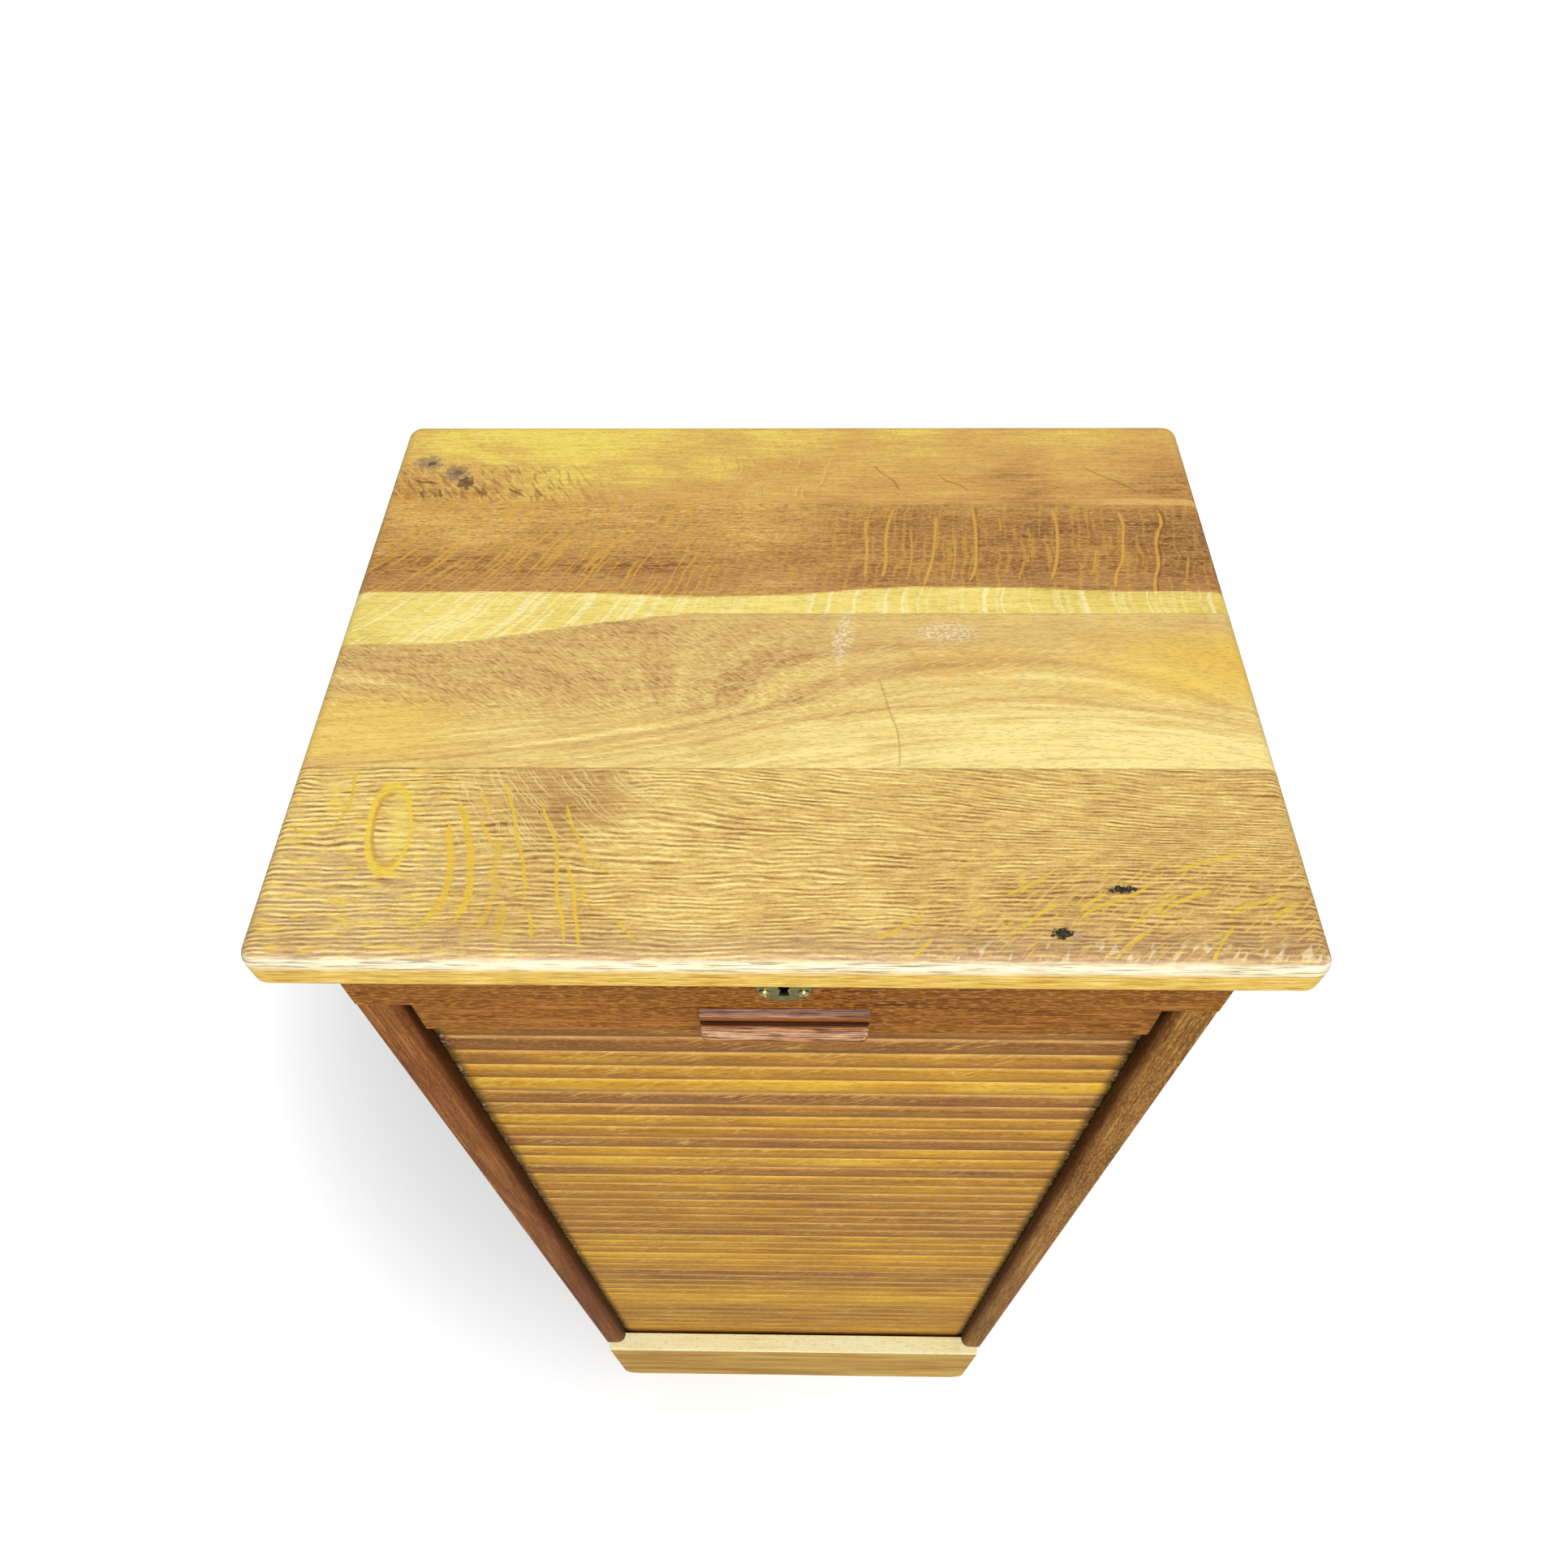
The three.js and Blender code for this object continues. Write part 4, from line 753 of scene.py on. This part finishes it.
def metalRecipe(name, codes, roughness, seed):
    r = Recipe(name, roughness=roughness, metal=1)
    blotch = r.noise(r.x / 3.2 + seed, r.y / 3.2, r.z / 3.2, detail=4) - 0.5
    hairs = r.noise(r.x / 5 + seed, r.y / 0.35, r.z / 0.35, detail=1) - 0.5
    r.colour = r.shades(0.5 + blotch * 1.3 + hairs * 0.4, *codes)
    return r.finish(hairs + blotch, 0.03, (roughness + blotch * 0.3 + hairs * 0.12).clipped())


finishes["slatOak"] = slatRecipe()
finishes["canvas"] = canvasRecipe()
finishes["pullOak"] = pullRecipe()
finishes["agedBrass"] = metalRecipe("agedBrass", ("#5d5a36", "#8a8657", "#aaa56c", "#c9c288"), 0.34, 3)
finishes["screwBrass"] = metalRecipe("screwBrass", ("#9a8f4c", "#c7bd70", "#e9e09a", "#fbf4bd"), 0.2, 9)
finishes["dullSteel"] = metalRecipe("dullSteel", ("#5a5954", "#7f7e78", "#9b9a93", "#b8b7b0"), 0.42, 17)
print("finishes are written")


def outline(corners, steps=8):
    # A quarter circle at each corner (u, v, radius), anticlockwise: its points, and the way out at each
    spots = np.array(corners, float)
    here, radius = spots[:, :2], spots[:, 2:]
    back, ahead = np.roll(here, 1, 0) - here, np.roll(here, -1, 0) - here
    back = back / np.linalg.norm(back, axis=1, keepdims=True)
    ahead = ahead / np.linalg.norm(ahead, axis=1, keepdims=True)
    angle = np.linspace(0, np.pi / 2, steps + 1)[None, :, None]
    ways = -(ahead[:, None] * np.cos(angle) + back[:, None] * np.sin(angle))
    points = (here + (back + ahead) * radius)[:, None] + radius[:, None] * ways
    return points.reshape(-1, 2), ways.reshape(-1, 2)


def bridged(rings):
    # Rings (n, m, 3) joined one to the next, with one face over each end
    n, m = rings.shape[:2]
    i, j = np.arange(n - 1)[:, None] * m, np.arange(m)[None, :]
    k = (j + 1) % m
    quads = np.stack([i + j, i + k, i + m + k, i + m + j], -1).reshape(-1, 4)
    ends = [list(range(m))[::-1], list(range((n - 1) * m, n * m))]
    return rings.reshape(-1, 3), quads.tolist() + ends


def outwards(points, faces):
    # The faces point out where the volumes they close off from the middle add up to more than nothing
    fan = np.array([(f[0], f[i], f[i + 1]) for f in faces for i in range(1, len(f) - 1)])
    a, b, c = (points[fan[:, k]] - points.mean(0) for k in range(3))
    turned = np.einsum("ij,ij->i", a, np.cross(b, c)).sum() < 0
    return [f[::-1] for f in faces] if turned else faces


def settled(name, mesh, angle, body, nodes):
    # Rounds are shaded as rounds and flats as flats, then the piece is attached to its body and the nodes it
    # replaces are hidden
    mesh.shade_smooth()
    mesh.set_sharp_from_angle(angle=math.radians(angle))
    piece = linked(name, mesh)
    evened = piece.modifiers.new("evened", "WEIGHTED_NORMAL")
    evened.keep_sharp = True
    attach(piece, body)
    if nodes:
        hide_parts(*nodes)
    return piece


def placed(name, points, faces, finish, body, slot, *nodes, angle=38, attributes=None, slots=None):
    mesh = bpy.data.meshes.new(name)
    mesh.from_pydata(points.tolist(), [], faces)
    for key, values in (attributes or {}).items():
        mesh.attributes.new(key, "FLOAT", "POINT").data.foreach_set("value", np.asarray(values, np.float32))
    for material in finish if isinstance(finish, tuple) else (finish,):
        mesh.materials.append(finishes[material])
    if slots is not None:
        mesh.polygons.foreach_set("material_index", slots)
    return settled(name, mesh, angle, body, nodes)


def slab(name, corners, low, high, edges, axis, finish, body, slot, *nodes, steps=8):
    # A board's outline carried from low to high along one axis, drawn in by a quarter circle at each face:
    # inset = edge (1 - cos a), height = face - edge (1 - sin a)
    flat, ways = outline(corners, steps)
    a = np.linspace(0, np.pi / 2, steps + 1)
    inset = np.concatenate([edges[0] * (1 - np.sin(a)), edges[1] * (1 - np.cos(a))])
    height = np.concatenate([low + edges[0] * (1 - np.cos(a)), high - edges[1] * (1 - np.sin(a))])
    rings = np.insert(flat[None] - inset[:, None, None] * ways[None], axis, height[:, None], axis=2)
    points, faces = bridged(rings)
    return placed(name, points, outwards(points, faces), finish, body, slot, *nodes)


def softened(node, name, finish, body, ease=0.5, angle=34):
    # A merged copy of a CAD board: coplanar triangles joined, and its sharp arrises eased by a small bevel
    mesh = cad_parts[node].data.copy()
    mesh.name = name
    mesh.materials.clear()
    mesh.materials.append(finishes[finish])
    shape = bmesh.new()
    shape.from_mesh(mesh)
    bmesh.ops.remove_doubles(shape, verts=shape.verts, dist=1e-6)
    bmesh.ops.dissolve_limit(shape, angle_limit=math.radians(0.5), verts=shape.verts, edges=shape.edges)
    shape.to_mesh(mesh)
    shape.free()
    piece = settled(name, mesh, angle, body, (node,))
    eased = piece.modifiers.new("eased", "BEVEL")
    eased.width, eased.segments, eased.limit_method = ease * mm, 2, "ANGLE"
    eased.angle_limit = math.radians(40)
    eased.use_clamp_overlap = True
    piece.modifiers.move(1, 0)
    return piece


topShape = dict(edge=8 * mm, lowEdge=2.2 * mm, corner=9 * mm)


def makeTop():
    low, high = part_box("top_board")
    corners = [(high.x, high.y), (low.x, high.y), (low.x, low.y), (high.x, low.y)]
    corners = [(x, y, topShape["corner"]) for x, y in corners]
    slab("topBoard", corners, low.z, high.z, (topShape["lowEdge"], topShape["edge"]), 2, "topOak", "carcase",
         "top_oak", "top_board", steps=10)


makeTop()
print("top board is made")

plinthShape = dict(foot=18 * mm, shoulder=1.6 * mm, arris=1.5 * mm)


def makePlinth():
    low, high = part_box("plinth_front")
    foot, shoulder, arris = plinthShape["foot"], plinthShape["shoulder"], plinthShape["arris"]
    corners = [(low.x, low.z, foot), (high.x, low.z, foot), (high.x, high.z, shoulder),
               (low.x, high.z, shoulder)]
    slab("plinthBoard", corners, low.y, high.y, (arris, 0.5 * mm), 1, "plinthOak", "carcase", "plinth_oak",
         "plinth_front")


makePlinth()
print("plinth board is made")


# Tone 0 is brown and 1 is golden, from the top slat down; grey is how far a slat is bleached
slats = dict(
    pitch=20.7, seam=0.4, count=4, topArris=2.2, lowArris=2.6, crown=0.9, backLine=-135.5, clothHalf=185,
    endWear=0.5, wornFrom=181, wornOver=14, waveWear=0.1, waves=((31, 1.7, 1), (83, 2.9, 0.6), (190, 1, 0.4)),
    arrisAt=0.95, arrisWidth=0.22, crowding=1.25, rings=47,
    tones=(
        .3, .3, .2, .5, .6, .85, .3, .42, .62, .52, .32, .62, .74, .36, .66, .56, .45, .48, .46, .42, .44, .34,
        .62, .64, .56, .78, .66, .58, .36, .38, .48, .54, .66, .8, .7, .6, .46, .5, .55, .52, .58, .56, .5, .5),
    grey=(
        .2, .2, .55, .35, .15, 0, .6, .5, .1, .2, .6, .2, .1, .5, .2, .2, .35, .3, .35, .3, .3, .4,
        .1, .1, .1, 0, 0, .1, .5, .5, .3, .15, .1, 0, 0, .1, .3, .2, .2, .2, .1, .1, .2, .2))


def crowded(count, half, power):
    # Places from -half to half that crowd together at both ends: half (1 - (1 - share) ** power)
    share = np.linspace(-1, 1, count)
    return half * np.sign(share) * (1 - (1 - np.abs(share)) ** power)


def slatRings(top, number, face, half):
    # One slat as a worn profile carried along x: quarter circles join a slightly crowned face to square backs
    high, low = top * mm, (top - slats["pitch"] + slats["seam"]) * mm
    back = slats["backLine"] * mm
    big, small, crown = slats["topArris"] * mm, slats["lowArris"] * mm, slats["crown"] * mm
    a = np.linspace(0, np.pi / 2, 6)
    s = np.linspace(-1, 1, 9)[1:-1]
    lowY, lowZ = face + crown + small * (1 - np.sin(a)), low + small * (1 - np.cos(a))
    topY, topZ = face + crown + big * (1 - np.cos(a)), high - big * (1 - np.sin(a))
    faceZ = (low + small + high - big) / 2 + s * (high - big - low - small) / 2
    y = np.concatenate([[back], lowY, face + crown * s ** 2, topY, [back]])
    z = np.concatenate([[low], lowZ, faceZ, topZ, [high]])
    across = np.concatenate([[-1.6], -1.25 + 0.55 * np.sin(a), s * 0.7, 0.7 + 0.55 * (1 - np.cos(a)), [1.6]])
    x = crowded(slats["rings"], half, slats["crowding"])
    wobble = sum(size * np.sin(x * rate + number * shift) for rate, shift, size in slats["waves"])
    end = np.clip((np.abs(x) / mm - slats["wornFrom"]) / slats["wornOver"], 0, 1)
    end = end * end * (3 - 2 * end)
    arris = np.exp(-((np.abs(across) - slats["arrisAt"]) / slats["arrisWidth"]) ** 2)
    dip = slats["waveWear"] * (1 + wobble[:, None]) * arris[None]
    dip = (dip + slats["endWear"] * end[:, None] * (0.5 + arris[None])) * mm
    dip = np.clip(dip, 0, None)
    dip[:, [0, -1]] = 0
    yy = y[None] + dip
    zz = z[None] - np.sign(across)[None] * dip * 0.55 * arris[None]
    rings = np.stack([np.broadcast_to(x[:, None], yy.shape), yy, zz], -1)
    return rings, np.broadcast_to(across, yy.shape).ravel()


def makeSection(number):
    node = f"tambour_section_{number:02d}"
    low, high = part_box(node)
    points, faces, slots, rows = [], [], [], []
    start = 0
    for k in range(slats["count"]):
        index = (number - 1) * slats["count"] + k
        rings, across = slatRings(high.z / mm - k * slats["pitch"], index, low.y, high.x)
        flat, quads = bridged(rings)
        faces += [[v + start for v in f] for f in outwards(flat, quads)]
        slots += [0] * len(quads)
        points.append(flat)
        rows.append([across] + [np.full(len(flat), v)
                                for v in (slats["tones"][index], slats["grey"][index], index)])
        start += len(flat)
    half = slats["clothHalf"] * mm
    corners = [(-half, low.z, mm), (half, low.z, mm), (half, high.z, mm), (-half, high.z, mm)]
    flat, ways = outline(corners, 3)
    flat, quads = bridged(np.stack([np.insert(flat, 1, y, axis=1) for y in (slats["backLine"] * mm, high.y)]))
    faces += [[v + start for v in f] for f in outwards(flat, quads)]
    slots += [1] * len(quads)
    points.append(flat)
    rows.append([np.zeros(len(flat))] * 4)
    names = ("slatAcross", "slatTone", "slatGrey", "slatSeed")
    attributes = {key: np.concatenate([row[i] for row in rows]) for i, key in enumerate(names)}
    placed(f"shutterSection{number:02d}", np.concatenate(points), faces, ("slatOak", "canvas"),
           f"section_{number:02d}", "slat_oak", node, attributes=attributes, slots=slots)


for number in range(1, 12):
    makeSection(number)
print("shutter slats are made")


# Shares (forward, down) of the pull's section, from the back of its upper edge round to the back of its
# lower edge
pull = dict(
    section=[(0, 0), (.3, 0), (.39, .03), (.43, .1), (.39, .2), (.33, .31), (.34, .41), (.56, .46),
             (.86, .53), (1, .65), (.98, .82), (.86, .95), (.7, 1), (0, 1)],
    lipRadius=4.6, lipFrom=0.46, aheadFrom=0.4, aheadOver=0.5, endRound=0.9, endDrop=0.09, rubbed=0.012,
    ripples=((95, 0), (210, 1)), crowding=1.7, rings=61, points=79)


def makePull():
    # Its section is smoothed by splines, carried along x, and drawn up and back at both ends to round the
    # lip's corners
    low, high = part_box("pull")
    knots = np.array(pull["section"])
    t = np.linspace(0, len(knots) - 1, pull["points"])
    i = np.clip(t.astype(int), 0, len(knots) - 2)
    f = (t - i)[:, None]
    p0, p1 = knots[np.clip(i - 1, 0, None)], knots[i]
    p2, p3 = knots[i + 1], knots[np.clip(i + 2, None, len(knots) - 1)]
    curve = 0.5 * (2 * p1 + (p2 - p0) * f + (2 * p0 - 5 * p1 + 4 * p2 - p3) * f ** 2
                   + (3 * p1 - p0 - 3 * p2 + p3) * f ** 3)
    curve = np.clip(curve, 0, 1)
    deep, tall, half = high.y - low.y, high.z - low.z, high.x
    radius = pull["lipRadius"] * mm
    x = crowded(pull["rings"], half, pull["crowding"])
    into = np.clip(np.abs(x) - (half - radius), 0, radius)
    drawn = radius - np.sqrt(radius ** 2 - into ** 2)
    lower = np.clip((curve[:, 1] - pull["lipFrom"]) / (1 - pull["lipFrom"]), 0, 1)
    down = curve[None, :, 1] - lower[None] * drawn[:, None] / tall
    edge = np.clip((np.abs(x) - (half - pull["endRound"] * mm)) / (pull["endRound"] * mm), 0, 1)
    proud = curve[None, :, 0] * (1 - pull["endDrop"] * edge[:, None] ** 2)
    ripple = sum(np.sin(x * rate + shift) for rate, shift in pull["ripples"])
    rubbed = pull["rubbed"] * ripple[:, None] * (curve[None, :, 0] > 0.5)
    start = pull["aheadFrom"]
    ahead = np.clip((curve[:, 0] - start) / pull["aheadOver"], 0, 1) * (curve[:, 1] > start)
    proud = np.clip(proud + rubbed - pull["rubbed"] - ahead[None] * drawn[:, None] / deep, 0, 1)
    rings = np.stack([np.broadcast_to(x[:, None], down.shape), high.y - proud * deep,
                      high.z - down * tall], -1)
    points, faces = bridged(rings)
    sweep = np.broadcast_to(np.linspace(0, 1, len(curve)), down.shape).ravel()
    placed("pullStrip", points, outwards(points, faces), "pullOak", "lead", "pull_oak", "pull",
           angle=50, attributes=dict(pullSweep=sweep))


makePull()
print("pull is made")

escutcheon = dict(dome=0.55, lip=0.12, round=2.7, lift=2.4, foot=-6, neck=1.7, spread=2.6, waist=0.3,
                  brow=0.8, sides=144)


def keyhole(angle):
    # Reach of the keyhole from the plate's middle at each angle: the larger of a lifted circle and a
    # flared foot
    c, s = np.cos(angle), np.sin(angle)
    lift, radius = escutcheon["lift"], escutcheon["round"]
    circle = lift * s + np.sqrt(np.clip(radius ** 2 - (lift * c) ** 2, 0, None))
    drop = escutcheon["foot"]
    lean = (escutcheon["spread"] - escutcheon["neck"]) / (escutcheon["waist"] - drop)
    side = (escutcheon["neck"] + escutcheon["waist"] * lean) / np.clip(np.abs(c) + lean * s, 1e-6, None)
    base = np.where(s < -1e-6, drop / np.clip(s, None, -1e-6), 1e3)
    ceiling = np.where(s > 1e-6, escutcheon["brow"] / np.clip(s, 1e-6, None), 1e3)
    return np.maximum(circle, np.minimum(np.minimum(side, base), ceiling))


def makeEscutcheon():
    # A ring between keyhole and rim: its face falls away towards the rim by dome times the share to the
    # fourth
    low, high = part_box("escutcheon")
    middle, rim = (low + high) / 2, (high.x - low.x) / 2
    angle = np.linspace(0, 2 * np.pi, escutcheon["sides"] + 1)[:-1]
    hole = keyhole(angle) * mm
    share = np.concatenate([[0, 0, 0.04], np.linspace(0.1, 0.94, 9), [0.975, 1, 1]])
    deep = high.y - low.y
    drop = share ** 4 * escutcheon["dome"] * mm
    drop[1] += escutcheon["lip"] * mm
    drop[0] = drop[-1] = deep
    reach = hole[None] + (rim - hole[None]) * share[:, None]
    rings = np.stack([middle.x + reach * np.cos(angle), low.y + np.broadcast_to(drop[:, None], reach.shape),
                      middle.z + reach * np.sin(angle)], -1)
    n, m = reach.shape
    i, j = np.arange(n)[:, None] * m, np.arange(m)[None, :]
    k, ahead = (j + 1) % m, ((np.arange(n) + 1) % n)[:, None] * m
    faces = np.stack([i + j, i + k, ahead + k, ahead + j], -1).reshape(-1, 4).tolist()
    points = rings.reshape(-1, 3)
    placed("escutcheonPlate", points, outwards(points, faces), "agedBrass", "carcase", "brass", "escutcheon",
           angle=44)


makeEscutcheon()

screw = dict(head=2.8, rise=1.5, slot=0.42, slotDepth=0.75, dome=0.985, grid=21, wall=0.01, clear=0.03,
             turn=(28, -64))


def makeScrew(node, name, turn):
    # A square grid drawn in to a disc and raised as a dome, sunk along one band for the driver's slot
    low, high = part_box(node)
    middle, radius = (low + high) / 2, screw["head"] * mm
    half = screw["slot"] / screw["head"]
    even = np.linspace(-1, 1, screw["grid"])
    walls = [side * half + out for side in (-1, 1) for out in (-screw["wall"], screw["wall"])]
    rows = np.sort(np.concatenate([even[np.abs(np.abs(even) - half) > screw["clear"]], walls]))
    u, v = np.meshgrid(even, rows, indexing="ij")
    widest = np.maximum(np.abs(u), np.abs(v))
    length = np.where(widest > 0, widest / np.clip(np.hypot(u, v), 1e-9, None), 1)
    discU, discV = u * length, v * length
    rise = screw["rise"] * mm * np.sqrt(1 - (np.hypot(discU, discV) * screw["dome"]) ** 2)
    rise = np.where(np.abs(discV) < half, np.minimum(rise, (screw["rise"] - screw["slotDepth"]) * mm), rise)
    c, s = math.cos(math.radians(turn)), math.sin(math.radians(turn))
    seat = low.y + screw["rise"] * mm
    flat = np.stack([middle.x + (discU * c - discV * s) * radius, seat - rise,
                     middle.z + (discU * s + discV * c) * radius], -1).reshape(-1, 3)
    n, m = u.shape
    cells = np.arange(n * m).reshape(n, m)
    quads = np.stack([cells[:-1, :-1], cells[:-1, 1:], cells[1:, 1:], cells[1:, :-1]], -1).reshape(-1, 4)
    rim = np.concatenate([cells[0], cells[1:, -1], cells[-1, -2::-1], cells[-2:0:-1, 0]])
    skirt = flat[rim].copy()
    skirt[:, 1] = seat
    below = len(flat) + np.arange(len(rim))
    sides = np.stack([rim, np.roll(rim, -1), np.roll(below, -1), below], -1)
    points = np.concatenate([flat, skirt])
    faces = quads.tolist() + sides.tolist() + [below.tolist()]
    placed(name, points, outwards(points, faces), "screwBrass", "carcase", "brass", node, angle=50)


makeScrew("escutcheon_screw_left", "plateScrewLeft", screw["turn"][0])
makeScrew("escutcheon_screw_right", "plateScrewRight", screw["turn"][1])
print("escutcheon and its screws are made")

# Boards kept as the CAD has them, with their arrises eased: node, name, finish, body, slot, ease in mm
boards = [
    ("side_panel_left", "sidePanelLeft", "leftStileOak", "carcase", "stile_oak", 0.6),
    ("side_panel_right", "sidePanelRight", "rightStileOak", "carcase", "stile_oak", 0.6),
    ("frieze_rail", "friezeRail", "friezeOak", "carcase", "frieze_oak", 0.5),
    ("lead_rail", "leadRail", "leadOak", "lead", "frieze_oak", 0.6),
    ("back_panel", "backPanel", "plyWood", "carcase", "plywood", 0.4),
    ("tray_guide_left", "trayGuideLeft", "guideOak", "carcase", "inner_wood", 0.3),
    ("tray_guide_right", "trayGuideRight", "guideOak", "carcase", "inner_wood", 0.3),
]
for number in range(1, 11):
    boards.append((f"tray_frame_{number:02d}", f"trayFrame{number:02d}", "trayOak", f"tray_{number:02d}",
                   "inner_wood", 0.6))
for node, name, finish, body, slot, ease in boards:
    softened(node, name, finish, body, ease)
print("boards are eased")

pins = dict(inset=6, radius=2, rise=0.7, sunk=0.2, rows=6, sides=12)


def makePins():
    # Low round heads along both long edges of the back panel: height = rise (1 - share of the radius
    # squared)
    low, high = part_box("back_panel")
    share = np.array([1, 1, 0.85, 0.6, 0.3, 0.08])
    rise = pins["rise"] * mm * np.concatenate([[-pins["sunk"]], 1 - share[1:] ** 2])
    angle = np.linspace(0, 2 * np.pi, pins["sides"] + 1)[:-1]
    points, faces = [], []
    inset = pins["inset"] * mm
    for x in (low.x + inset, high.x - inset):
        for z in np.linspace(low.z + 3 * inset, high.z - 3 * inset, pins["rows"]):
            reach = share[:, None] * pins["radius"] * mm
            rings = np.stack([x + reach * np.cos(angle), high.y + rise[:, None] + 0 * reach * angle,
                              z + reach * np.sin(angle)], -1)
            flat, quads = bridged(rings)
            faces += [[v + len(flat) * len(points) for v in f] for f in outwards(flat, quads)]
            points.append(flat)
    placed("backPins", np.concatenate(points), faces, "dullSteel", "carcase", "steel")


makePins()
print("back panel is pinned")

# Nodes that stay as they are get a finish by the start of their name
kinds = {
    "lock": "dullSteel", "strike": "agedBrass", "pull_screw": "screwBrass", "tray_floor": "floorPly",
    "false_back": "floorPly",
}
for name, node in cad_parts.items():
    finish = next((value for key, value in kinds.items() if name.startswith(key)), "innerOak")
    node.data.materials.clear()
    node.data.materials.append(finishes[finish])
print("carried nodes are finished")
